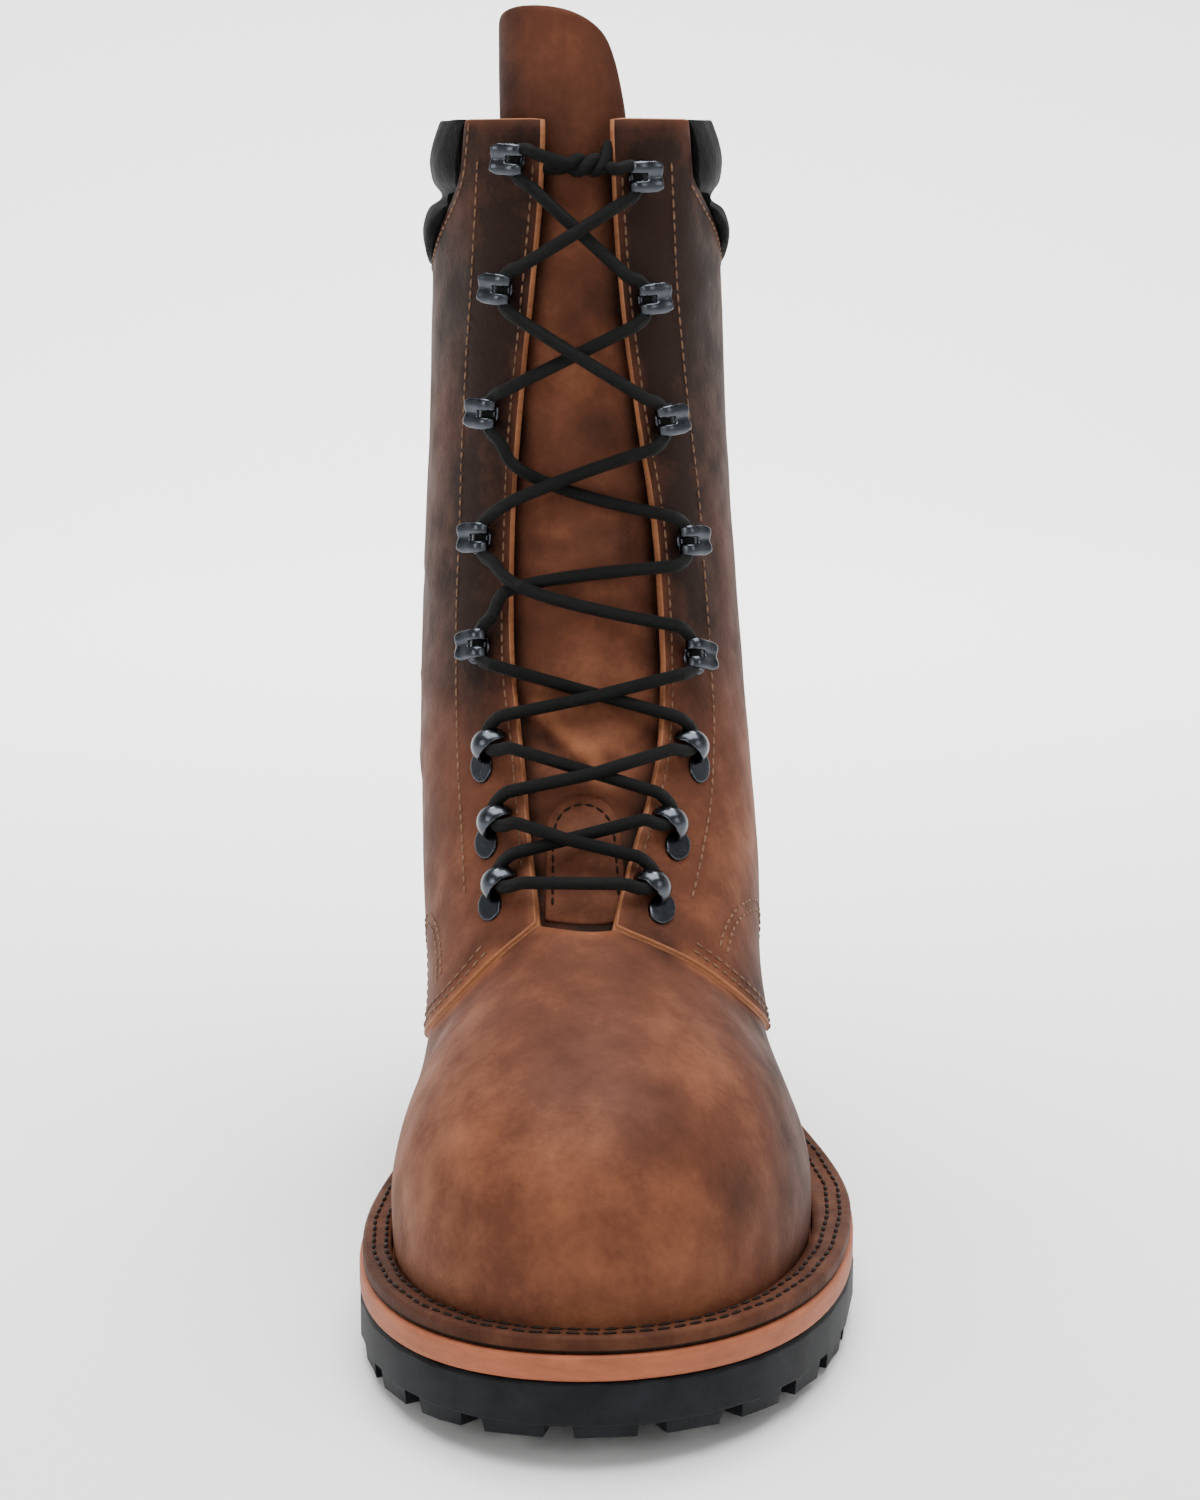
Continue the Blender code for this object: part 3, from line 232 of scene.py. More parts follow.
def moulded_rubber(name):
    """Carbon-black nitrile rubber, pressed in a blasted mould: matt, faintly speckled, with a little dust."""
    made, tree, shader = new_material(name)
    place = add(tree, "ShaderNodeTexCoord").outputs["Object"]
    # blasted grain of 0.7 mm, drawn a little coarser than real so that it shows, and dust of 11 mm
    grit = add(tree, "ShaderNodeTexNoise", Vector=place, Scale=1500.0, Detail=2.0)
    dust = add(tree, "ShaderNodeTexNoise", Vector=place, Scale=90.0, Detail=6.0, Roughness=0.7)
    ramp = add(tree, "ShaderNodeValToRGB", {"stops": tones(colours().rubber, (0.4, 0.75), (0.75, 1.9))},
               Fac=dust)
    bump = add(tree, "ShaderNodeBump", Strength=0.2, Distance=0.3 * MM, Height=grit)
    feed(tree, shader, Base_Color=ramp, Normal=bump, Roughness=0.6, Specular_IOR_Level=0.12)
    return made


def braided_cord(name, long):
    """Braided polyester cord: crossing yarns of about 1.2 mm in a diamond braid, dull black, faint sheen."""
    made, tree, shader = new_material(name)
    uv = add(tree, "ShaderNodeSeparateXYZ", Vector=add(tree, "ShaderNodeUVMap"))
    turns = long / (5.0 * MM)
    yarns = []
    for way in (1.0, -1.0):
        along = add(tree, "ShaderNodeMath", {"operation": "MULTIPLY"}, _0=uv.outputs[1], _1=way * turns * 2.0)
        phase = add(tree, "ShaderNodeMath", {"operation": "MULTIPLY_ADD"}, _0=uv.outputs[0], _1=4.0,
                    _2=along)
        angle = add(tree, "ShaderNodeMath", {"operation": "MULTIPLY"}, _0=phase, _1=2.0 * math.pi)
        yarns.append(add(tree, "ShaderNodeMath", {"operation": "SINE"}, _0=angle))
    braid = add(tree, "ShaderNodeMath", {"operation": "MAXIMUM"}, _0=yarns[0], _1=yarns[1])
    ramp = add(tree, "ShaderNodeValToRGB", {"stops": tones(colours().lace, (0.0, 0.4), (1.0, 1.7))},
               Fac=braid)
    bump = add(tree, "ShaderNodeBump", Strength=0.5, Distance=0.4 * MM, Height=braid)
    feed(tree, shader, Base_Color=ramp, Normal=bump, Roughness=0.7, Specular_IOR_Level=0.15)
    return made


def black_nickel(name):
    """Stamped steel with black nickel plate, tumbled bright: dark mirror, a faint haze and rubbed marks."""
    made, tree, shader = new_material(name)
    place = add(tree, "ShaderNodeTexCoord").outputs["Object"]
    # haze in spots of 2.5 mm
    haze = add(tree, "ShaderNodeTexNoise", Vector=place, Scale=400.0, Detail=5.0, Roughness=0.7)
    ramp = add(tree, "ShaderNodeValToRGB", {"stops": tones(colours().metal, (0.35, 0.8), (0.75, 1.05))},
               Fac=haze)
    rough = add(tree, "ShaderNodeMapRange", Value=haze, From_Min=0.3, From_Max=0.7,
                To_Min=0.18, To_Max=0.30)
    feed(tree, shader, Base_Color=ramp, Roughness=rough, Metallic=1.0)
    return made


def waxed_thread(name, shade):
    """Bonded nylon thread, waxed: twisted plies show as fine light and dark stripes of about 1 mm."""
    made, tree, shader = new_material(name)
    place = add(tree, "ShaderNodeTexCoord").outputs["Object"]
    ply = add(tree, "ShaderNodeTexNoise", Vector=place, Scale=900.0, Detail=2.0)
    ramp = add(tree, "ShaderNodeValToRGB", {"stops": tones(shade, (0.35, 0.6), (0.7, 1.25))}, Fac=ply)
    feed(tree, shader, Base_Color=ramp, Roughness=0.6, Specular_IOR_Level=0.1)
    return made


def studio_paper(name):
    """Matt seamless paper: an even pale floor with hardly any tooth, of about 3 mm."""
    made, tree, shader = new_material(name)
    place = add(tree, "ShaderNodeTexCoord").outputs["Object"]
    tooth = add(tree, "ShaderNodeTexNoise", Vector=place, Scale=300.0, Detail=2.0)
    ramp = add(tree, "ShaderNodeValToRGB", {"stops": tones(colours().floor, (0.3, 0.985), (0.7, 1.0))},
               Fac=tooth)
    feed(tree, shader, Base_Color=ramp, Roughness=0.9)
    return made


# Meshes


def smoothstep(low, high, value):
    t = np.clip((value - low) / (high - low), 0.0, 1.0)
    return t * t * (3.0 - 2.0 * t)


def link(name, data):
    made = bpy.data.objects.new(name, data)
    bpy.context.scene.collection.objects.link(made)
    return made


def finished(name, mesh, *materials):
    """A smooth object for a bmesh, which is freed."""
    data = bpy.data.meshes.new(name)
    mesh.to_mesh(data)
    mesh.free()
    for material in materials:
        data.materials.append(material)
    data.shade_smooth()
    return link(name, data)


def settle(obj):
    """Applies an object's modifiers to its mesh."""
    depsgraph = bpy.context.evaluated_depsgraph_get()
    data = bpy.data.meshes.new_from_object(obj.evaluated_get(depsgraph))
    old = obj.data
    obj.modifiers.clear()
    obj.data = data
    bpy.data.meshes.remove(old)


def subdivide(obj, levels):
    modifier = obj.modifiers.new("round", "SUBSURF")
    modifier.levels = levels
    modifier.render_levels = levels
    settle(obj)


def copied(node, sharp):
    """A merged copy of a CAD node's mesh in quads, with its sharp edges creased."""
    mesh = bmesh.new()
    mesh.from_mesh(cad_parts[node].data)
    bmesh.ops.remove_doubles(mesh, verts=mesh.verts, dist=0.002 * MM)
    bmesh.ops.join_triangles(mesh, faces=mesh.faces, angle_face_threshold=0.7, angle_shape_threshold=1.2)
    crease = mesh.edges.layers.float.new("crease_edge")
    for edge in mesh.edges:
        if len(edge.link_faces) == 2 and edge.calc_face_angle() > sharp:
            edge[crease] = 0.9
    return mesh


def piece(obj, slot, *nodes):
    """Puts a piece on the boot's body and hides the CAD nodes that it stands for; its finish, slot, is not
    used.
    """
    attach(obj, "root")
    if nodes:
        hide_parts(*nodes)


def vertex_values(data, key):
    """The places or normals of a mesh's vertices, one row each."""
    found = np.empty(len(data.vertices) * 3)
    data.vertices.foreach_get(key, found)
    return found.reshape(-1, 3)


def set_tone(data, tone):
    layer = data.attributes.new("tone", "FLOAT", "POINT")
    layer.data.foreach_set("value", np.asarray(tone, dtype=np.float32))


WALK_STEP = 1.5 * MM


class Surface:
    """The outside of a piece, to seat seams and fittings on."""

    def __init__(self, data, part=0):
        polygons = [tuple(p.vertices) for p in data.polygons if p.material_index == part]
        self.tree = BVHTree.FromPolygons([v.co.copy() for v in data.vertices], polygons)

    def seat(self, point):
        found, normal, _, _ = self.tree.find_nearest(point)
        return found, normal

    def behind(self, x, z):
        """The foremost point at a place of the front view and the normal there, or None twice."""
        found, normal, _, _ = self.tree.ray_cast(Vector((x, BEFORE_ALL, z)), Vector((0.0, 1.0, 0.0)))
        return found, normal

    def walk(self, line, inset, toward):
        """A line moved sideways over the surface by a distance, to the side that toward mostly points to."""
        steps = max(1, math.ceil(inset / WALK_STEP))
        points = [Vector(p) for p in line]
        last = len(points) - 1
        for _ in range(steps):
            asides = []
            for i, point in enumerate(points):
                _, normal = self.seat(point)
                asides.append(normal.cross(points[min(i + 1, last)] - points[max(i - 1, 0)]).normalized())
            if sum(aside.dot(toward) for aside in asides) < 0.0:
                asides = [-aside for aside in asides]
            points = [self.seat(point + aside * (inset / steps))[0] for point, aside in zip(points, asides)]
            between = [0.25 * a + 0.5 * b + 0.25 * c for a, b, c in zip(points, points[1:], points[2:])]
            points = [points[0], *between, points[-1]]
        return points


def resample(points, step, closed=False):
    """Points at even steps along a line."""
    line = [Vector(p) for p in points]
    if closed:
        line.append(line[0].copy())
    reach = [0.0]
    for a, b in zip(line, line[1:]):
        reach.append(reach[-1] + (b - a).length)
    count = max(2, round(reach[-1] / step))
    result = []
    k = 0
    for i in range(count + (0 if closed else 1)):
        target = reach[-1] * i / count
        while k < len(line) - 2 and reach[k + 1] < target:
            k += 1
        span = reach[k + 1] - reach[k]
        result.append(line[k].lerp(line[k + 1], (target - reach[k]) / span if span else 0.0))
    return result


def rounded(points, passes=2):
    """A line with its corners rounded, its ends kept."""
    line = [Vector(p) for p in points]
    for _ in range(passes):
        cut = [line[0]]
        for a, b in zip(line, line[1:]):
            cut += [a.lerp(b, 0.25), a.lerp(b, 0.75)]
        line = cut + [line[-1]]
    return line


def stitch_rows(name, surface, rows, pitch, thick, material, closed=False):
    """One object with a sunk stitch at every step of each row."""
    whole = bmesh.new()
    for row in rows:
        mesh = bmesh.new()
        points = resample(row, pitch, closed)
        count = len(points)
        for i in range(count if closed else count - 1):
            a, b = points[i], points[(i + 1) % count]
            middle, normal = surface.seat(a.lerp(b, 0.5))
            along = (b - a).normalized()
            side = normal.cross(along).normalized()
            up = along.cross(side)
            turn = Matrix((along, side, up)).transposed().to_4x4()
            spread = Matrix.Diagonal((0.40 * pitch, 0.5 * thick, 0.42 * thick, 1.0))
            place = Matrix.Translation(middle + up * (0.12 * thick)) @ turn @ spread
            bmesh.ops.create_uvsphere(mesh, u_segments=6, v_segments=4, radius=1.0,
                                      matrix=place @ Matrix.Rotation(0.5 * math.pi, 4, "Y"))
        data = bpy.data.meshes.new("row")
        mesh.to_mesh(data)
        mesh.free()
        whole.from_mesh(data)
        bpy.data.meshes.remove(data)
    return finished(name, whole, material)


# The upper

SKIN, LINING, CUT = 0, 1, 2

# places on the upper in metres: x is outward, y backward and z up
ANKLE = 0.118
SHAFT_MIDDLE = 0.082
FOOT_MIDDLE = 0.052
TOE_CORE, HEEL_CORE = -0.105, 0.125
MID_LINE = -2 * MM
THROAT_CORNER = Vector((0.022, -0.046, 0.093))
THROAT_BACK = 0.034
EYESTAY_FOOT, EYESTAY_TOP = 0.095, 0.2965
CREST_LOW, CREST_BACK = 0.2925, 0.05
TOP_LOW, TOP_MIDDLE = 0.25, 0.08
QUARTER_LOW = 0.05
QUARTER_FRONT_HIGH, QUARTER_BACK_HIGH = 0.093, 0.12


def boot_core(point):
    """A point inside the boot, level with or behind the given one."""
    if point.z > ANKLE:
        return Vector((0.0, SHAFT_MIDDLE, point.z))
    return Vector((0.0, min(max(point.y, TOE_CORE), HEEL_CORE), FOOT_MIDDLE))


class UpperLines:
    """The lines of the upper that seams follow, found on its CAD mesh."""

    def __init__(self):
        self.quarter = []
        self.rim = []

    def beside(self, side):
        """The rim's points on one side of the boot."""
        return [p for p in self.rim if (p.x > MID_LINE) == (side > 0.0)]

    def edge(self, side, low=EYESTAY_FOOT, high=EYESTAY_TOP):
        """The eyestay's edge from low to high."""
        found = [p for p in self.beside(side) if p.y < THROAT_BACK and low <= p.z <= high]
        return sorted(found, key=lambda p: p.z)

    def crest(self, side):
        """The top edge of an eyestay."""
        found = [p for p in self.beside(side) if p.y < CREST_BACK and p.z > CREST_LOW]
        return sorted(found, key=lambda p: abs(p.x))

    def top(self):
        """The leather's top line from the outer eyestay round the back to the inner one."""
        found = [p for p in self.rim if p.z > TOP_LOW and p.y > THROAT_BACK]
        return sorted(found, key=lambda p: math.atan2(p.x, p.y - TOP_MIDDLE))

    def quarter_edge(self):
        """The quarters' lower edge from the throat's outer corner round the back to its inner one."""
        left = [p for p in self.quarter if p.z > QUARTER_LOW]
        line = [min(left, key=lambda p: (p - THROAT_CORNER).length)]
        while left:
            near = min(left, key=lambda p: (p - line[-1]).length)
            left.remove(near)
            if (near - line[-1]).length > SAME_PLACE:
                line.append(near)
        return line


LINES = UpperLines()
SURFACES = {}

# places, sizes and depths of smudges and of patches of painted shade, creases and folds are in mm
SmudgeAndShade = namedtuple("SmudgeAndShade", "name x y z radius tone")
SMUDGES_AND_SHADE = (
    SmudgeAndShade("toe, inner side", -44.0, -105.0, 52.0, 20.0, 0.06),
    SmudgeAndShade("toe, outer side", 38.0, -104.0, 57.0, 11.0, 0.07),
    SmudgeAndShade("toe, dark", 10.0, -121.0, 70.0, 12.0, -0.20),
    SmudgeAndShade("toe, dark below", 25.0, -122.0, 54.0, 9.0, -0.19),
    SmudgeAndShade("toe top", -13.0, -115.0, 75.0, 15.0, -0.09),
    SmudgeAndShade("toe, light band", -10.0, -132.0, 62.0, 12.0, 0.05),
    SmudgeAndShade("vamp, dark", 1.0, -90.0, 87.0, 16.0, -0.07),
    SmudgeAndShade("vamp, light", -8.0, -62.0, 95.0, 20.0, 0.05),
    # the dark patches on the eyestays and the shaft are partly the leather's own darker tone and partly
    # painted shade on the shaft's sides
    SmudgeAndShade("inner eyestay", -34.0, 24.0, 250.0, 40.0, -0.16),
    SmudgeAndShade("inner shaft", -40.0, 20.0, 180.0, 36.0, -0.10),
    SmudgeAndShade("outer eyestay", 32.0, 24.0, 250.0, 38.0, -0.17),
    SmudgeAndShade("outer shaft", 38.0, 20.0, 190.0, 30.0, -0.08),
    SmudgeAndShade("outer ankle", 44.0, 4.0, 125.0, 34.0, 0.08),
)

Crease = namedtuple("Crease", "name wide deep line")
CREASES = (
    Crease("outer ankle, low", 2.2, 0.9,
           ((44.0, 2.0, 112.0), (49.0, 22.0, 114.0), (49.0, 44.0, 119.0), (46.0, 66.0, 121.0))),
    Crease("outer ankle, high", 2.6, 0.8, ((42.0, 4.0, 130.0), (48.0, 24.0, 132.0), (48.0, 46.0, 137.0))),
    Crease("outer shaft", 3.0, 0.5, ((42.0, 26.0, 168.0), (48.0, 48.0, 163.0), (47.0, 72.0, 164.0))),
    Crease("inner ankle, low", 2.2, 0.9, ((-48.0, 0.0, 110.0), (-50.0, 20.0, 113.0), (-50.0, 46.0, 120.0))),
    Crease("inner ankle, high", 2.6, 0.8, ((-47.0, 8.0, 128.0), (-50.0, 30.0, 133.0), (-49.0, 56.0, 140.0))),
    Crease("inner shaft", 3.0, 0.5, ((-46.0, 24.0, 172.0), (-49.0, 50.0, 168.0), (-48.0, 74.0, 171.0))),
    Crease("heel cord", 3.0, 0.6, ((30.0, 118.0, 132.0), (8.0, 132.0, 128.0), (-20.0, 128.0, 131.0))),
)
# from a crease to the ridge that it throws up
CREASE_RIDGE = Vector((0.0, 0.0, 3.4 * MM))


def sort_faces(mesh):
    """Marks skin, lining and cut faces and collects the edges that seams follow."""
    mesh.normal_update()
    tree = BVHTree.FromBMesh(mesh)
    for face in mesh.faces:
        middle = face.calc_center_median()
        _, normal, _, _ = tree.ray_cast(middle - face.normal * 0.8 * MM, -face.normal, 4.2 * MM)
        wall = normal is not None and normal.dot(face.normal) < -0.5
        if not wall:
            face.material_index = CUT
        elif face.normal.dot(middle - boot_core(middle)) > 0.0:
            face.material_index = SKIN
        else:
            face.material_index = LINING
    for edge in mesh.edges:
        if len(edge.link_faces) != 2:
            continue
        kinds = sorted(face.material_index for face in edge.link_faces)
        if kinds != [SKIN, CUT] or edge.calc_face_angle_signed() < 0.5:
            continue
        middle = 0.5 * (edge.verts[0].co + edge.verts[1].co)
        high = QUARTER_FRONT_HIGH if middle.y < THROAT_BACK else QUARTER_BACK_HIGH
        line = LINES.quarter if middle.z < high else LINES.rim
        line.extend(v.co.copy() for v in edge.verts)


def near_line(co, line):
    """Each point's distance to a line of points."""
    points = np.array([tuple(p) for p in resample(line, 1.5 * MM)])
    best = np.full(len(co), 1.0)
    for start in range(0, len(points), 64):
        gap = co[:, None, :] - points[None, start : start + 64, :]
        best = np.minimum(best, np.sqrt((gap * gap).sum(2)).min(1))
    return best


def waves(co, size, seed):
    """Smooth noise of a size at each point, from -1 to 1."""
    shift = Vector((seed, seed * 1.7, seed * 0.6))
    return np.array([noise.noise(Vector(p) / size + shift) for p in co])


def hump(gap, wide):
    """1 where there is no gap, falling smoothly to nearly 0 at twice the width."""
    return np.exp(-((gap / wide) ** 2))


def smudge_and_shade_tone(co, spots, view=1.0):
    """What smudges and patches of painted shade add to the tone at each point; with FLAT as the view their
    depth doesn't count.
    """
    total = np.zeros(len(co))
    for spot in spots:
        gap = (co - np.array((spot.x, spot.y, spot.z)) * MM) * view
        total += spot.tone * hump(np.linalg.norm(gap, axis=1), spot.radius * MM)
    return total


class BOOT_OT_upper(bpy.types.Operator):
    """The leather shell with its cut edges, lining, soft unevenness and creases"""

    bl_idname = "boot.upper"
    bl_label = "Upper"

    def execute(self, context):
        mesh = copied("upper", 0.75)
        sort_faces(mesh)
        obj = finished("upper_leather", mesh, oiled_leather("oiled pull-up leather"),
                       grained_leather("glove lining", colours().lining, 0.6, 0.15),
                       cut_leather("cut leather edge", colours().leather_edge, 900.0))
        subdivide(obj, sizes().leather_levels)
        data = obj.data
        co = vertex_values(data, "co")
        uneven = 0.4 * waves(co, 0.034, 3.0) + 0.2 * waves(co, 0.015, 8.0)
        # the foot is lighter than the shaft, but for the outer side of the toe; the shaft's darkening is
        # partly the leather's own tone and partly painted shade
        low = 1.0 - smoothstep(0.085, 0.110, co[:, 2])
        tone = low * (0.05 - 0.20 * smoothstep(0.018, 0.046, co[:, 0]))
        tone -= 0.17 * smoothstep(0.110, 0.170, co[:, 2])
        for crease in CREASES:
            line = rounded([Vector(spot) * MM for spot in crease.line])
            deep = hump(near_line(co, line), crease.wide * MM)
            high = hump(near_line(co, [p + CREASE_RIDGE for p in line]), 2.4 * MM)
            uneven += crease.deep * (0.6 * high - deep)
            # each crease's groove is darkened as painted shade and its ridge lightened as a painted highlight
            tone += 0.06 * high - 0.09 * deep
        keep = smoothstep(0.028, 0.040, co[:, 2])
        moved = co + vertex_values(data, "normal") * (uneven * keep * MM)[:, None]
        data.vertices.foreach_set("co", moved.ravel())
        # rubbed edges are light, with a dark band beside them
        for side in (OUTER, INNER):
            edge = near_line(co, LINES.edge(side))
            tone += 0.15 * hump(edge, 0.0026) - 0.08 * hump(edge - 0.013, 0.011)
            tone += 0.16 * hump(near_line(co, LINES.crest(side)), 0.0026)
        seam = near_line(co, LINES.quarter_edge())
        tone += 0.14 * hump(seam, 0.0032) - 0.10 * hump(seam - 0.006, 0.004)
        set_tone(data, tone + smudge_and_shade_tone(co, SMUDGES_AND_SHADE))
        SURFACES["upper"] = Surface(data, SKIN)
        piece(obj, "leather_brown", "upper")
        return {"FINISHED"}


EYESTAY_WIDE = {OUTER: 18.5, INNER: 21.5}
# the stitched arch on each quarter, in mm
ARCHES = {
    OUTER: ((31.0, -37.0, 87.0), (34.1, -24.6, 92.6), (41.7, -6.5, 91.6), (46.0, 2.0, 86.0),
            (48.0, 7.0, 78.0)),
    INNER: ((-43.9, -28.0, 78.0), (-43.5, -19.0, 84.0), (-44.8, -8.9, 88.0), (-48.0, 2.0, 86.0),
            (-50.0, 8.0, 78.0)),
}


class BOOT_OT_seams(bpy.types.Operator):
    """Stitch rows of eyestays, quarters and collar edge"""

    bl_idname = "boot.seams"
    bl_label = "Seams"

    def execute(self, context):
        surface = SURFACES["upper"]
        size = sizes()
        rows = []
        for side in (OUTER, INNER):
            away = Vector((side, 0.3, 0.0))
            edge = rounded(resample(LINES.edge(side, 0.098), 6 * MM), 1)
            rows.append(surface.walk(edge, 2.2 * MM, away))
            rows.append(surface.walk(edge, EYESTAY_WIDE[side] * MM, away))
            arch = rounded([surface.seat(Vector(spot) * MM)[0] for spot in ARCHES[side]])
            rows += [arch, surface.walk(arch, 2.8 * MM, Vector((0.0, 0.5, 1.0)))]
        quarter = rounded(resample(LINES.quarter_edge(), 6 * MM), 1)
        for inset in (2.6 * MM, 5.4 * MM):
            rows.append(surface.walk(quarter, inset, Vector((0.0, 0.6, 1.0))))
        top = rounded(resample(LINES.top(), 5 * MM), 1)
        rows.append(surface.walk(top, 2.6 * MM, Vector((0.0, 0.0, -1.0))))
        obj = stitch_rows("upper_stitches", surface, rows, size.stitch_pitch, size.thread_thick,
                          waxed_thread("bonded thread", colours().thread))
        piece(obj, "leather_brown")
        return {"FINISHED"}


Fold = namedtuple("Fold", "name wide deep line")
FOLDS = (
    Fold("instep fold", 2.0, 1.6, ((-20.0, 142.0), (-14.0, 137.0), (-8.0, 131.5), (-5.0, 130.0))),
    Fold("across the instep", 1.8, 0.8, ((-6.0, 131.0), (3.0, 133.0), (12.0, 138.0))),
    Fold("ankle fold", 2.4, 0.9, ((16.0, 200.0), (6.0, 192.0), (-6.0, 187.0), (-16.0, 186.0))),
    Fold("upper ankle fold", 2.4, 0.7, ((-14.0, 174.0), (-2.0, 170.0), (14.0, 172.0))),
    Fold("shin crease", 2.0, 0.6, ((-8.0, 246.0), (0.0, 238.0), (5.0, 228.0))),
)
# from a fold to the ridge over it
FOLD_RIDGE = Vector((2.6 * MM, 0.0, 2.8 * MM))
TONGUE_SMUDGES = (
    SmudgeAndShade("under the second hooks", -1.0, 0.0, 250.0, 7.0, -0.20),
    SmudgeAndShade("under the third hooks", 1.0, 0.0, 217.0, 6.5, -0.24),
    SmudgeAndShade("under the fourth hooks", 6.0, 0.0, 184.0, 8.0, -0.18),
)


class BOOT_OT_tongue(bpy.types.Operator):
    """The tongue with its folds over the instep"""

    bl_idname = "boot.tongue"
    bl_label = "Tongue"

    def execute(self, context):
        obj = finished("tongue_leather", copied("tongue", 0.9), oiled_leather("tongue leather", 0.98))
        subdivide(obj, sizes().leather_levels)
        data = obj.data
        co = vertex_values(data, "co")
        flat = co * FLAT
        uneven = 0.5 * waves(co, 0.022, 5.0) + 0.2 * waves(co, 0.009, 2.0)
        tone = 0.03 - 0.12 * smoothstep(0.27, 0.30, co[:, 2]) + 0.06 * waves(co, 0.016, 6.0)
        for fold in FOLDS:
            line = [Vector((x * MM, 0.0, z * MM)) for x, z in fold.line]
            deep = hump(near_line(flat, line), fold.wide * MM)
            high = hump(near_line(flat, [p + FOLD_RIDGE for p in line]), 1.5 * fold.wide * MM)
            uneven += fold.deep * (deep - 0.75 * high)
            # each fold's groove is darkened as painted shade and its ridge lightened as a painted highlight
            tone += fold.deep * (0.12 * high - 0.16 * deep)
        # the top's two corners are dark, and the leather under the throat's edges is darkened as painted
        # shade of the gap between eyestays and tongue
        top = smoothstep(0.290, 0.312, co[:, 2])
        tone -= 0.16 * top * smoothstep(-0.008, 0.012, co[:, 0])
        tone -= 0.10 * top * smoothstep(-0.012, -0.022, co[:, 0])
        for side in (OUTER, INNER):
            edge = [Vector((p.x, 0.0, p.z)) for p in LINES.edge(side)]
            tone -= 0.34 * hump(near_line(flat, edge), 0.0036)
        moved = co.copy()
        moved[:, 1] += uneven * smoothstep(0.100, 0.112, co[:, 2]) * MM
        data.vertices.foreach_set("co", moved.ravel())
        set_tone(data, tone + smudge_and_shade_tone(co, TONGUE_SMUDGES, FLAT))
        SURFACES["tongue"] = Surface(data)
        piece(obj, "leather_brown", "tongue")
        return {"FINISHED"}


TAB_THICK = 1.5 * MM


def tab_point(across, rise):
    """A point of the tongue tab, from -1 to 1 across it and from 0 at its foot to 1 at its arched top."""
    x = (-5.2 + 10.8 * across * (1.0 - 0.10 * rise)) * MM
    z = (97.0 + (28.0 - 7.0 * abs(across) ** 3.0) * rise) * MM
    found, _ = SURFACES["tongue"].behind(x, z)
    if found is None:
        raise RuntimeError("the tongue tab misses the tongue")
    return found - Vector((0.0, TAB_THICK, 0.0))


class BOOT_OT_tongue_tab(bpy.types.Operator):
    """The stitched tab on the tongue's foot, between the loops"""

    bl_idname = "boot.tongue_tab"
    bl_label = "Tongue tab"

    def execute(self, context):
        mesh = bmesh.new()
        for vert in bmesh.ops.create_grid(mesh, x_segments=24, y_segments=28, size=1.0)["verts"]:
            vert.co = tab_point(vert.co.x, 0.5 * (vert.co.y + 1.0))
        bmesh.ops.recalc_face_normals(mesh, faces=mesh.faces)
        if sum(face.normal.y for face in mesh.faces) > 0.0:
            bmesh.ops.reverse_faces(mesh, faces=mesh.faces)
        bmesh.ops.solidify(mesh, geom=mesh.faces[:], thickness=TAB_THICK)
        bmesh.ops.recalc_face_normals(mesh, faces=mesh.faces)
        obj = finished("tongue_tab", mesh, oiled_leather("tab leather", 0.85))
        subdivide(obj, 1)
        set_tone(obj.data, 0.06 * np.ones(len(obj.data.vertices)))
        piece(obj, "leather_brown")
        half = [(0.3, 0.92), (0.78, 0.88), (0.8, 0.5), (0.8, 0.12)]
        corners = [(-across, rise) for across, rise in reversed(half)] + half
        row = [tab_point(across, rise) for across, rise in corners]
        size = sizes()
        seam = stitch_rows("tongue_tab_stitches", Surface(obj.data), [rounded(row)], size.stitch_pitch,
                           size.thread_thick, waxed_thread("tab thread", colours().welt_thread))
        piece(seam, "leather_brown")
        return {"FINISHED"}


COLLAR_SEAM = 0.2765  # the height of the seam between the two rolls


class BOOT_OT_collar(bpy.types.Operator):
    """The padded collar"""

    bl_idname = "boot.collar"
    bl_label = "Collar"

    def execute(self, context):
        hide = grained_leather("collar leather", colours().collar, 0.55, 0.015)
        obj = finished("collar_cushion", copied("collar_pad", 0.8), hide)
        subdivide(obj, 3)
        data = obj.data
        co = vertex_values(data, "co")
        out = vertex_values(data, "normal")
        swell = 0.35 * waves(co, 0.020, 4.0) + 0.2 * waves(co, 0.008, 9.0)
        seam = co[:, 2] - COLLAR_SEAM - 0.6 * MM * waves(co, 0.03, 1.0)
        swell += 0.9 * hump(np.abs(seam) - 0.009, 0.006) - 2.6 * hump(seam, 0.0022)
        moved = co + out * (swell * MM)[:, None]
        # the lower side rests on the leather's top line
        moved[:, 2] -= 1.3 * MM * smoothstep(0.2, 0.7, -out[:, 2])
        data.vertices.foreach_set("co", moved.ravel())
        piece(obj, "leather_black", "collar_pad")
        return {"FINISHED"}


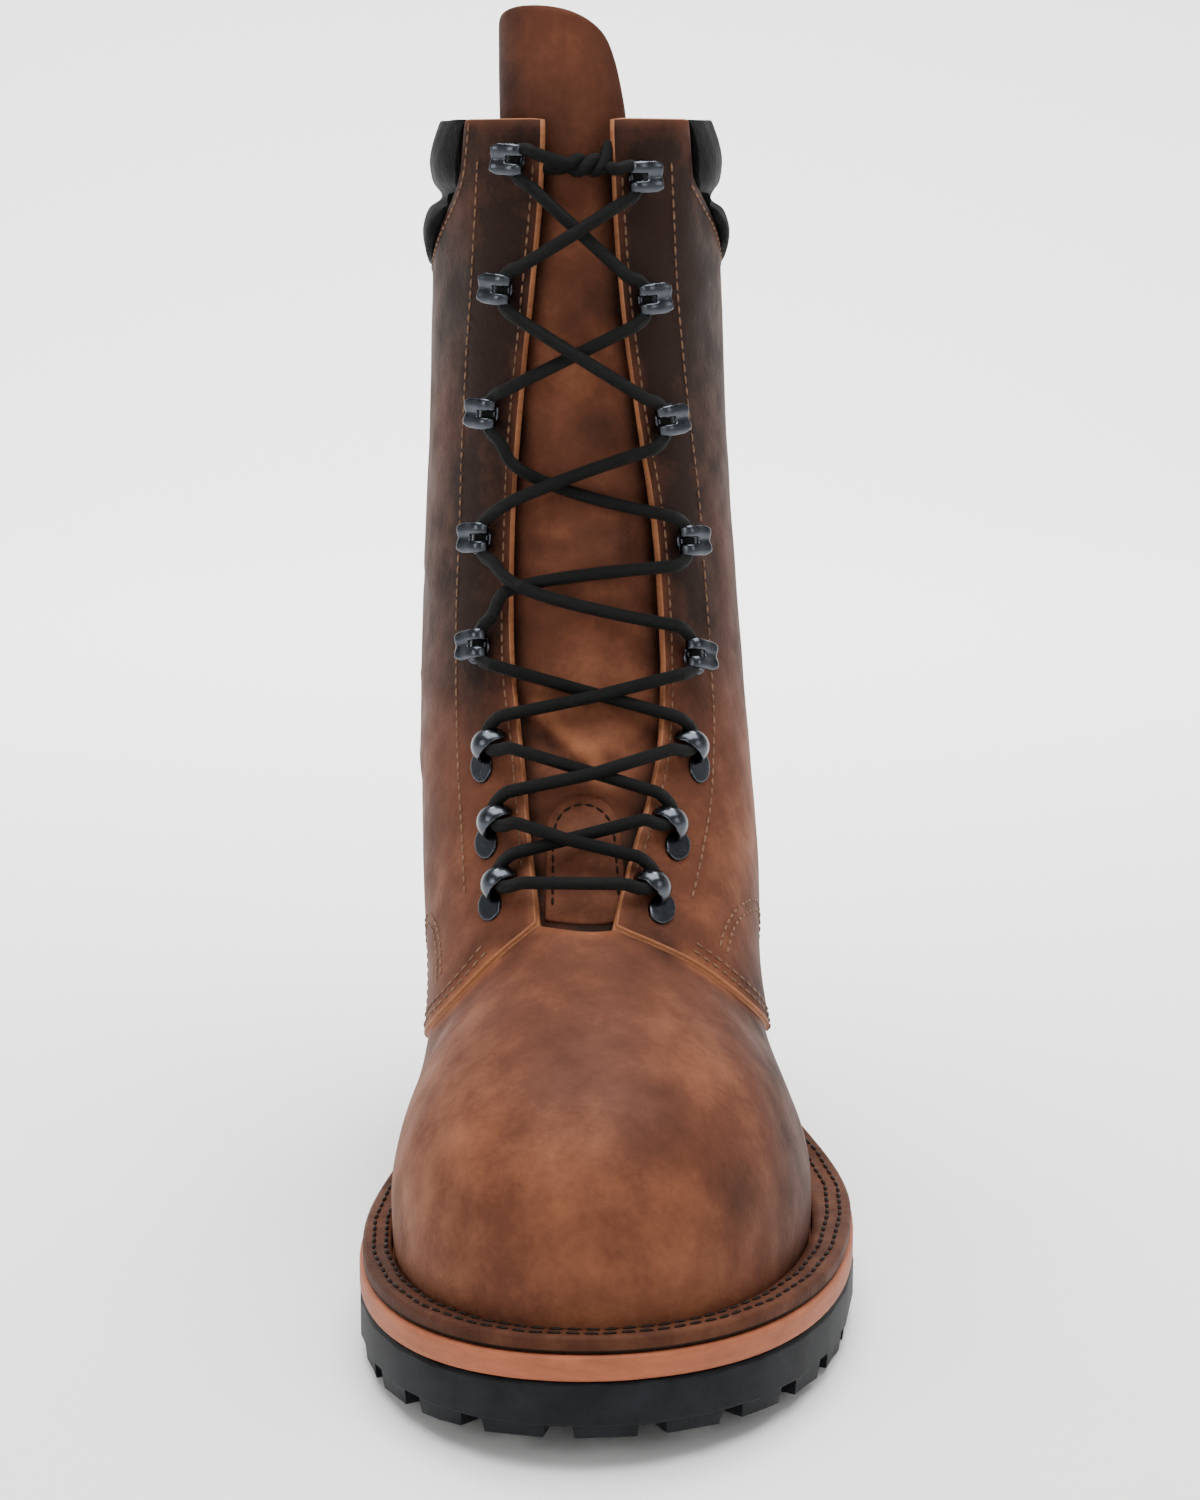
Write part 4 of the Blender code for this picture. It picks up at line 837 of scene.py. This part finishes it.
class BOOT_OT_sole(bpy.types.Operator):
    """Welt, midsole, insole, outsole and heel"""

    bl_idname = "boot.sole"
    bl_label = "Sole"

    def execute(self, context):
        shades = colours()
        midsole = finished("midsole_board", copied("midsole", 0.5),
                           cut_leather("leather board", shades.board, 500.0))
        subdivide(midsole, 2)
        piece(midsole, "leather_tan", "midsole")
        welt = finished("welt_leather", copied("welt", 0.5), oiled_leather("welt leather", 0.56),
                        waxed_thread("welt edge dressing and gap shade", shades.welt_thread))
        subdivide(welt, 2)
        set_tone(welt.data, 0.06 * waves(vertex_values(welt.data, "co"), 0.006, 4.0))
        # the welt's edge next to the midsole is painted dark: its edge dressing, and painted shade of the gap
        # between welt and midsole
        board = Surface(midsole.data)
        for face in welt.data.polygons:
            if abs(face.normal.z) < 0.75 and (board.seat(face.center)[0] - face.center).length < 1.2 * MM:
                face.material_index = 1
        SURFACES["welt"] = Surface(welt.data)
        piece(welt, "leather_brown", "welt")
        insole = finished("insole_board", copied("insole", 0.5),
                          grained_leather("insole leather", shades.lining, 0.6, 0.15))
        piece(insole, "leather_tan", "insole")
        rubber = moulded_rubber("moulded rubber")
        for node in ("outsole", "heel"):
            obj = finished(f"{node}_rubber", copied(node, 0.6), rubber)
            soft = obj.modifiers.new("moulded edges", "BEVEL")
            soft.width = 0.7 * MM
            soft.segments = 2
            soft.limit_method = "ANGLE"
            soft.angle_limit = 0.6
            settle(obj)
            piece(obj, "rubber_black", node)
        return {"FINISHED"}


class BOOT_OT_welt_seam(bpy.types.Operator):
    """Two rows of waxed thread on the welt"""

    bl_idname = "boot.welt_seam"
    bl_label = "Welt seam"

    def execute(self, context):
        mesh = copied("welt", 0.5)
        ring = []
        for edge in mesh.edges:
            ups = sorted(face.normal.z for face in edge.link_faces)
            if len(ups) == 2 and ups[1] > 0.93 and 0.3 < ups[0] < 0.9 and edge.calc_face_angle_signed() > 0.2:
                ring.extend(v.co.copy() for v in edge.verts)
        mesh.free()
        ring.sort(key=lambda p: math.atan2(p.x, 0.6 * p.y))
        ring = [p for p, q in zip(ring, ring[1:] + ring[:1]) if (p - q).length > SAME_PLACE]
        size = sizes()
        surface = SURFACES["welt"]
        rows = []
        for inset in (2.4 * MM, 5.6 * MM):
            inward = [(Vector((0.0, p.y * 0.7, p.z)) - p).normalized() * inset for p in ring]
            rows.append([surface.seat(p + way)[0] for p, way in zip(ring, inward)])
        obj = stitch_rows("welt_stitches", surface, rows, size.welt_pitch, size.welt_thread_thick,
                          waxed_thread("waxed welt thread", colours().welt_thread), closed=True)
        piece(obj, "leather_brown")
        return {"FINISHED"}


# Hooks, loops and the lace

LOOP_LEAN = math.radians(10.0)
# from a fitting's inmost point to its middle
HOOK_REACH, LOOP_REACH = 4.85 * MM, 5.45 * MM
Fitting = namedtuple("Fitting", "hook turn")
FITTINGS = {}


def fitting_turn(node, side, reach, lean):
    """Where a fitting sits: its axes are outward over the eyestay, up along it and away from it."""
    surface = SURFACES["upper"]
    low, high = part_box(node)
    middle, off = surface.seat(0.5 * (low + high))
    edge = resample(LINES.edge(side, high=0.296), 4 * MM)
    k = min(range(1, len(edge) - 1), key=lambda i: (edge[i] - middle).length)
    up = edge[k + 1] - edge[k - 1]
    up = (up - off * up.dot(off)).normalized()
    out = up.cross(off).normalized()
    if out.x * side < 0.0:
        out.negate()
    points = [v.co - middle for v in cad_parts[node].data.vertices]
    inner = min(p.dot(out) for p in points)
    ups = [p.dot(up) for p in points]
    place = middle + out * (inner + reach) + up * (0.5 * (min(ups) + max(ups)))
    place = surface.seat(place)[0]
    turn = Matrix((out, up, off)).transposed().to_4x4()
    turn.translation = place
    return turn @ Matrix.Rotation(-lean, 4, "Z")


# the hook's sheet from its foot round the bend to its lip in mm: outward over the eyestay and off it
HOOK_BEND = ((3.2, 0.9), (-1.6, 0.9), (-3.5, 1.3), (-4.5, 3.1), (-3.6, 5.1), (-1.4, 5.9), (1.8, 5.8),
             (4.2, 6.4))
# the slot between the prongs: its start and end along the sheet from 0 to 1, and half its width
SLOT_START, SLOT_END, SLOT_HALF = 0.34, 0.76, 0.9 * MM


def bent_strip(mesh, line, half, thick, bands):
    """A strip of sheet bent along a line, half as wide as half(t) says, with a slot cut in it."""
    path = resample(line, 0.9 * MM)
    last = len(path) - 1
    for vert in bmesh.ops.create_grid(mesh, x_segments=last, y_segments=bands, size=1.0)["verts"]:
        t = 0.5 * (vert.co.x + 1.0)
        at = path[round(t * last)]
        vert.co = Vector((at.x, vert.co.y * half(t), at.z))
    cut = []
    for face in mesh.faces:
        spots = [Vector((v.co.x, 0.0, v.co.z)) for v in face.verts]
        ts = [min(range(last + 1), key=lambda i: (path[i] - spot).length) / last for spot in spots]
        inside = all(abs(v.co.y) < SLOT_HALF for v in face.verts)
        if inside and SLOT_START < sum(ts) / len(ts) < SLOT_END:
            cut.append(face)
    bmesh.ops.delete(mesh, geom=cut, context="FACES")
    bmesh.ops.solidify(mesh, geom=mesh.faces[:], thickness=thick)


def disc(mesh, out, up, off, radius, thick, stretch=1.0):
    """A flat foot with soft rims, stretched along the eyestay."""
    at = Matrix.Translation((out, up, off + 0.5 * thick)) @ Matrix.Diagonal((1.0, stretch, 1.0, 1.0))
    made = bmesh.ops.create_cone(mesh, cap_ends=True, segments=24, radius1=radius, radius2=0.93 * radius,
                                 depth=thick, matrix=at)
    edges = {edge for vert in made["verts"] for edge in vert.link_edges}
    rims = [edge for edge in edges if abs(edge.verts[0].co.z - edge.verts[1].co.z) < 0.01 * MM]
    bmesh.ops.bevel(mesh, geom=rims, offset=0.25 * thick, segments=2, profile=0.5, affect="EDGES",
                    material=-1)


def hook_half(t):
    """Half the hook's width along its sheet, which narrows to both ends."""
    return (4.15 - 1.0 * smoothstep(0.9, 1.0, t) - 0.9 * smoothstep(0.3, 0.0, t)) * MM


def hook_shape(thick):
    """A hook of two prongs, bent over the lace, on a round foot."""
    mesh = bmesh.new()
    line = rounded([Vector((out * MM, 0.0, off * MM)) for out, off in HOOK_BEND])
    bent_strip(mesh, line, hook_half, thick, 10)
    for vert in mesh.verts:
        # each prong is rounded over
        gap = (abs(vert.co.y) - 2.4 * MM) / (1.8 * MM)
        vert.co.z += 0.5 * MM * max(-0.6, 1.0 - gap * gap) * smoothstep(2.5 * MM, 5.0 * MM, vert.co.z)
    disc(mesh, 1.8 * MM, 0.0, 0.05 * MM, 4.6 * MM, 0.8 * MM)
    return mesh


def loop_shape(thick):
    """A domed hood over the lace, open downward, on a flat foot."""
    mesh = bmesh.new()
    bmesh.ops.create_uvsphere(mesh, u_segments=28, v_segments=16, radius=1.0,
                              matrix=Matrix.Diagonal((5.5 * MM, 5.2 * MM, 6.4 * MM, 1.0)))
    mouth = ((0.0, -1.6 * MM, 0.0), (-0.25, -1.0, -0.3))
    seat = ((0.0, 0.0, 0.1 * MM), (0.0, 0.0, -1.0))
    for at, away in (mouth, seat):
        bmesh.ops.bisect_plane(mesh, geom=mesh.verts[:] + mesh.edges[:] + mesh.faces[:], plane_co=at,
                               plane_no=away, clear_outer=True)
    bmesh.ops.solidify(mesh, geom=mesh.faces[:], thickness=thick)
    disc(mesh, 4.9 * MM, -3.4 * MM, 0.05 * MM, 3.7 * MM, 1.0 * MM, 1.35)
    return mesh


class BOOT_OT_fittings(bpy.types.Operator):
    """Bent metal hooks and loops along both eyestays"""

    bl_idname = "boot.fittings"
    bl_label = "Hooks and loops"

    def execute(self, context):
        metal = black_nickel("black nickel")
        thick = sizes().metal_thick
        for side in (OUTER, INNER):
            for row in range(HOOK_ROWS + LOOP_ROWS):
                hook = row < HOOK_ROWS
                number = row + 1 if hook else row + 1 - HOOK_ROWS
                node = f"lace_{'hook' if hook else 'loop'}_{SIDE_NAMES[side]}_{number}"
                reach, lean = (HOOK_REACH, 0.0) if hook else (LOOP_REACH, LOOP_LEAN)
                turn = fitting_turn(node, side, reach, lean)
                FITTINGS[side, row] = Fitting(hook, turn)
                mesh = hook_shape(thick) if hook else loop_shape(thick)
                bmesh.ops.transform(mesh, matrix=turn, verts=mesh.verts)
                bmesh.ops.recalc_face_normals(mesh, faces=mesh.faces)
                obj = finished(f"{node}_plated", mesh, metal)
                subdivide(obj, 1)
                piece(obj, "metal_black", node)
        return {"FINISHED"}


def front(point, clear):
    """How far forward a lace's middle has to be at a point to lie on what is behind it."""
    best = -point.y - 0.03
    for surface in (SURFACES["upper"], SURFACES["tongue"]):
        found, normal = surface.behind(point.x, point.z)
        if found is not None:
            best = max(best, -found.y + clear / max(0.45, -normal.y))
    return best


def front_reach(line):
    """How far along a line each of its points is, as seen from the front."""
    reach = [0.0]
    for a, b in zip(line, line[1:]):
        reach.append(reach[-1] + math.hypot(b.x - a.x, b.z - a.z))
    return reach


def pulled_taut(line, clear, held=()):
    """A lace's line drawn tight over what lies behind it and over held points, its ends kept."""
    reach = front_reach(line)
    heights = [(r, front(p, clear)) for r, p in zip(reach[1:-1], line[1:-1])]
    hull = []
    for spot in [(0.0, -line[0].y)] + sorted(heights + list(held)) + [(reach[-1], -line[-1].y)]:
        while len(hull) > 1:
            (ax, ah), (bx, bh) = hull[-2], hull[-1]
            if (bx - ax) * (spot[1] - ah) - (bh - ah) * (spot[0] - ax) < 0.0:
                break
            hull.pop()
        hull.append(spot)
    xs, hs = zip(*hull)
    return [Vector((p.x, -float(np.interp(r, xs, hs)), p.z)) for r, p in zip(reach, line)]


Crossing = namedtuple("Crossing", "name falling_over falling_bend rising_bend")
# a bend under 1 takes the strand up or down early on its way from the inner side
CROSSINGS = (
    Crossing("hooks 1 to 2", False, 1.0, 1.0),
    Crossing("hooks 2 to 3", True, 1.0, 1.0),
    Crossing("hooks 3 to 4", False, 0.45, 0.75),
    Crossing("hooks 4 to 5", True, 0.55, 0.25),
    Crossing("hooks 5 to loops 1", False, 1.0, 1.0),
    Crossing("loops 1 to 2", False, 1.0, 1.0),
    Crossing("loops 2 to 3", True, 1.0, 1.0),
)

STRAND_STEPS = 24
# the lace's way out of a fitting in mm: outward over the eyestay, up along it and off it
HOOK = ((-1.0, 0.0, 3.0), (-1.8, 3.6, 3.0), (-4.4, 5.6, 3.2), (-7.6, 6.6, 3.4))
TOP_HOOK = ((-1.0, 0.0, 3.0), (-1.8, 2.6, 3.0), (-4.6, 3.2, 3.2), (-8.2, 2.0, 3.4))
RISING_LOOP = ((-0.4, 0.0, 2.9), (-0.8, 2.8, 2.8), (-3.0, 4.4, 2.9), (-6.8, 4.6, 3.3))
FALLING_LOOP = ((-0.4, 0.0, 2.9), (-1.0, -2.4, 2.9), (-3.4, -4.2, 3.1), (-7.0, -5.4, 3.4))


def at_fitting(side, row, rises):
    """The lace's way out of a fitting, from its middle to the throat, upward or downward."""
    fitting = FITTINGS[side, row]
    if not fitting.hook:
        spots = RISING_LOOP if rises else FALLING_LOOP
    elif row == 0 and rises:
        spots = TOP_HOOK
    else:
        spots = [(out, up if rises else -up, off) for out, up, off in HOOK]
    return [fitting.turn @ (Vector(spot) * MM) for spot in spots]


def strand_line(start, end, bend=1.0):
    """Points between two ends over the throat, the first end on the inner side."""
    steps = [i / STRAND_STEPS for i in range(STRAND_STEPS + 1)]
    return [Vector([a + (b - a) * w for a, b, w in zip(start, end, (t, t, t ** bend))]) for t in steps]


def crossing_spot(first, second):
    """Where two lines cross as seen from the front, as an index into each."""

    def gap(pair):
        a, b = first[pair[0]], second[pair[1]]
        return math.hypot(a.x - b.x, a.z - b.z)

    return min(((i, j) for i in range(len(first)) for j in range(len(second))), key=gap)


def crossed_pair(row, clear):
    """The falling and the rising strand between a row and the next one, one laid over the other."""
    rule = CROSSINGS[row]
    falling = strand_line(at_fitting(INNER, row, False)[-1], at_fitting(OUTER, row + 1, True)[-1],
                          rule.falling_bend)
    rising = strand_line(at_fitting(INNER, row + 1, True)[-1], at_fitting(OUTER, row, False)[-1],
                         rule.rising_bend)
    lower, upper = (rising, falling) if rule.falling_over else (falling, rising)
    lower = pulled_taut(lower, clear)
    i, j = crossing_spot(lower, upper)
    reach = front_reach(upper)[j]
    top = -lower[i].y + 1.9 * clear
    upper = pulled_taut(upper, clear, [(reach - 1.5 * MM, top), (reach + 1.5 * MM, top)])
    return (upper, lower) if rule.falling_over else (lower, upper)


KNOT_STEPS = 8
KNOT_WIDE = 9.0 * MM


def half_knot(clear):
    """The two strands over the top hooks: each turns about the other and tucks in behind the far eyestay."""
    ends = {}
    left = at_fitting(INNER, 0, True)
    right = at_fitting(OUTER, 0, True)
    middle = left[0].lerp(right[0], 0.58)
    middle.z += 1.2 * MM
    middle.y = -front(middle, clear) - 1.2 * clear
    for side, start in ((INNER, left), (OUTER, right)):
        across = Vector((-side, 0.0, 0.0))
        way = [start[-1]]
        for i in range(KNOT_STEPS + 1):
            turn = 2.0 * math.pi * i / KNOT_STEPS + (0.0 if side == INNER else math.pi)
            ring = Vector((0.0, -math.cos(turn), math.sin(turn) * -side)) * (0.98 * clear)
            way.append(middle + across * ((i / KNOT_STEPS - 0.5) * KNOT_WIDE) + ring)
        edge = min(LINES.edge(-side, 0.25), key=lambda p: abs(p.z - middle.z))
        lift = 5.0 * MM if side == INNER else -0.8 * MM
        far = Vector((edge.x, edge.y, middle.z + lift))
        way.append(middle + across * 5.6 * MM + Vector((0.0, 0.3 * clear, lift * 0.9)))
        way.append(far - across * 2.0 * MM + Vector((0.0, 1.8 * MM, 0.0)))
        for reach in (2.5 * MM, 6.0 * MM, 9.0 * MM):
            spot, off = SURFACES["upper"].seat(far + across * reach + Vector((0.0, 0.45 * reach, 0.0)))
            way.append(spot - off * 3.4 * MM)
        ends[side] = way
    return ends


def lace_line(clear):
    """The whole lace from one tucked end to the other."""
    rows = HOOK_ROWS + LOOP_ROWS
    pairs = [crossed_pair(row, clear) for row in range(rows - 1)]
    knot = half_knot(clear)
    halves = {}
    for side in (INNER, OUTER):
        line = list(reversed(knot[side]))
        here = side
        for row in range(rows):
            line += list(reversed(at_fitting(here, row, True)))[1:]
            line += at_fitting(here, row, False)[1:-1]
            if row < rows - 1:
                falling, rising = pairs[row]
                line += falling if here == INNER else list(reversed(rising))
                here = -here
                line.pop()
                line.append(at_fitting(here, row + 1, True)[-1])
        line.append(at_fitting(here, rows - 1, False)[-1])
        halves[side] = line
    start, end = sorted((half[-1] for half in halves.values()), key=lambda p: p.x)
    bar = pulled_taut(strand_line(start, end), clear)
    if bar[0] != halves[INNER][-1]:
        bar.reverse()
    return halves[INNER] + bar[1:-1] + list(reversed(halves[OUTER]))


class BOOT_OT_lace(bpy.types.Operator):
    """One lace through every hook and loop, with a half knot at the top"""

    bl_idname = "boot.lace"
    bl_label = "Lace"

    def execute(self, context):
        thick = sizes().lace_thick
        points = resample(rounded(lace_line(0.5 * thick)), 1.4 * MM)
        curve = bpy.data.curves.new("lace_cord", "CURVE")
        curve.dimensions = "3D"
        curve.bevel_depth = 0.5 * thick
        curve.bevel_resolution = 3
        curve.use_fill_caps = True
        spline = curve.splines.new("POLY")
        spline.points.add(len(points) - 1)
        spline.points.foreach_set("co", [c for p in points for c in (*p, 1.0)])
        spline.use_smooth = True
        long = sum((b - a).length for a, b in zip(points, points[1:]))
        curve.materials.append(braided_cord("braided lace", long))
        obj = link("lace_cord", curve)
        piece(obj, "lace_black", "lace_bar", "lace_knot", *[f"lace_cross_{i}" for i in range(1, 8)])
        return {"FINISHED"}


Lamp = namedtuple("Lamp", "name place aim wide power")
LAMPS = (
    Lamp("top softbox", (0.05, -0.1, 1.6), (0.0, 0.0, 0.1), 1.4, 48.0),
    Lamp("left softbox", (-1.3, -1.2, 0.8), (0.0, 0.0, 0.15), 0.8, 8.5),
    Lamp("right softbox", (1.2, -1.3, 0.9), (0.0, 0.0, 0.15), 0.8, 5.5),
    Lamp("backdrop light", (0.0, 0.9, 1.9), (0.0, 2.6, 0.6), 1.2, 150.0),
)
# the camera, fitted to a picture of 1200 by 1500 pixels
PICTURE_HIGH = 1500.0
FOCAL_PIXELS = 2905.0
SENSOR = 36.0
CAMERA_PLACE = (-0.0347, -0.754, 0.288)
CAMERA_DOWN, CAMERA_TURN = math.radians(11.60), math.radians(-2.64)
FLAT_FLOOR = 1.5


class BOOT_OT_stage(bpy.types.Operator):
    """Floor, light and camera"""

    bl_idname = "boot.stage"
    bl_label = "Stage"

    def execute(self, context):
        mesh = bmesh.new()
        for vert in bmesh.ops.create_grid(mesh, x_segments=72, y_segments=72, size=4.5)["verts"]:
            # the paper lies flat round the boot and curves up from there on all sides
            bent = max(0.0, vert.co.xy.length - FLAT_FLOOR)
            vert.co.z = 0.28 * bent * bent
        floor = finished("floor", mesh, studio_paper("seamless paper"))
        world = bpy.data.worlds.new("studio")
        context.scene.world = world
        world.use_nodes = True
        back = world.node_tree.nodes["Background"]
        back.inputs["Color"].default_value = (1.0, 1.0, 1.0, 1.0)
        back.inputs["Strength"].default_value = 0.4
        for lamp in LAMPS:
            data = bpy.data.lights.new(lamp.name, "AREA")
            data.size = lamp.wide
            data.energy = lamp.power
            obj = link(lamp.name, data)
            obj.location = lamp.place
            aim = Vector(lamp.aim) - Vector(lamp.place)
            obj.rotation_euler = aim.to_track_quat("-Z", "Y").to_euler()
        view = bpy.data.cameras.new("camera")
        view.sensor_width = SENSOR
        view.lens = SENSOR * FOCAL_PIXELS / PICTURE_HIGH
        view.clip_start = 0.01
        camera = link("camera", view)
        camera.location = CAMERA_PLACE
        camera.rotation_euler = (math.radians(90.0) - CAMERA_DOWN, 0.0, CAMERA_TURN)
        context.scene.camera = camera
        return {"FINISHED"}


PIECES = (BOOT_OT_stage, BOOT_OT_upper, BOOT_OT_seams, BOOT_OT_tongue, BOOT_OT_tongue_tab, BOOT_OT_collar,
          BOOT_OT_sole, BOOT_OT_welt_seam, BOOT_OT_fittings, BOOT_OT_lace)


class BOOT_PT_pieces(bpy.types.Panel):
    """The boot's pieces in the order that they are made"""

    bl_idname = "BOOT_PT_pieces"
    bl_label = "Work boot"
    bl_space_type = "VIEW_3D"
    bl_region_type = "UI"
    bl_category = "Boot"

    def draw(self, context):
        for made in PIECES:
            self.layout.operator(made.bl_idname)


CLASSES = (BootColours, BootSizes, *PIECES, BOOT_PT_pieces)


def register():
    for made in CLASSES:
        bpy.utils.register_class(made)
    bpy.types.Scene.boot_colours = PointerProperty(type=BootColours)
    bpy.types.Scene.boot_sizes = PointerProperty(type=BootSizes)


def unregister():
    del bpy.types.Scene.boot_sizes
    del bpy.types.Scene.boot_colours
    for made in reversed(CLASSES):
        bpy.utils.unregister_class(made)


def main():
    register()
    bpy.ops.boot.stage()
    bpy.ops.boot.upper()
    bpy.ops.boot.seams()
    bpy.ops.boot.tongue()
    bpy.ops.boot.tongue_tab()
    bpy.ops.boot.collar()
    bpy.ops.boot.sole()
    bpy.ops.boot.welt_seam()
    bpy.ops.boot.fittings()
    bpy.ops.boot.lace()


if __name__ == "__main__":
    main()
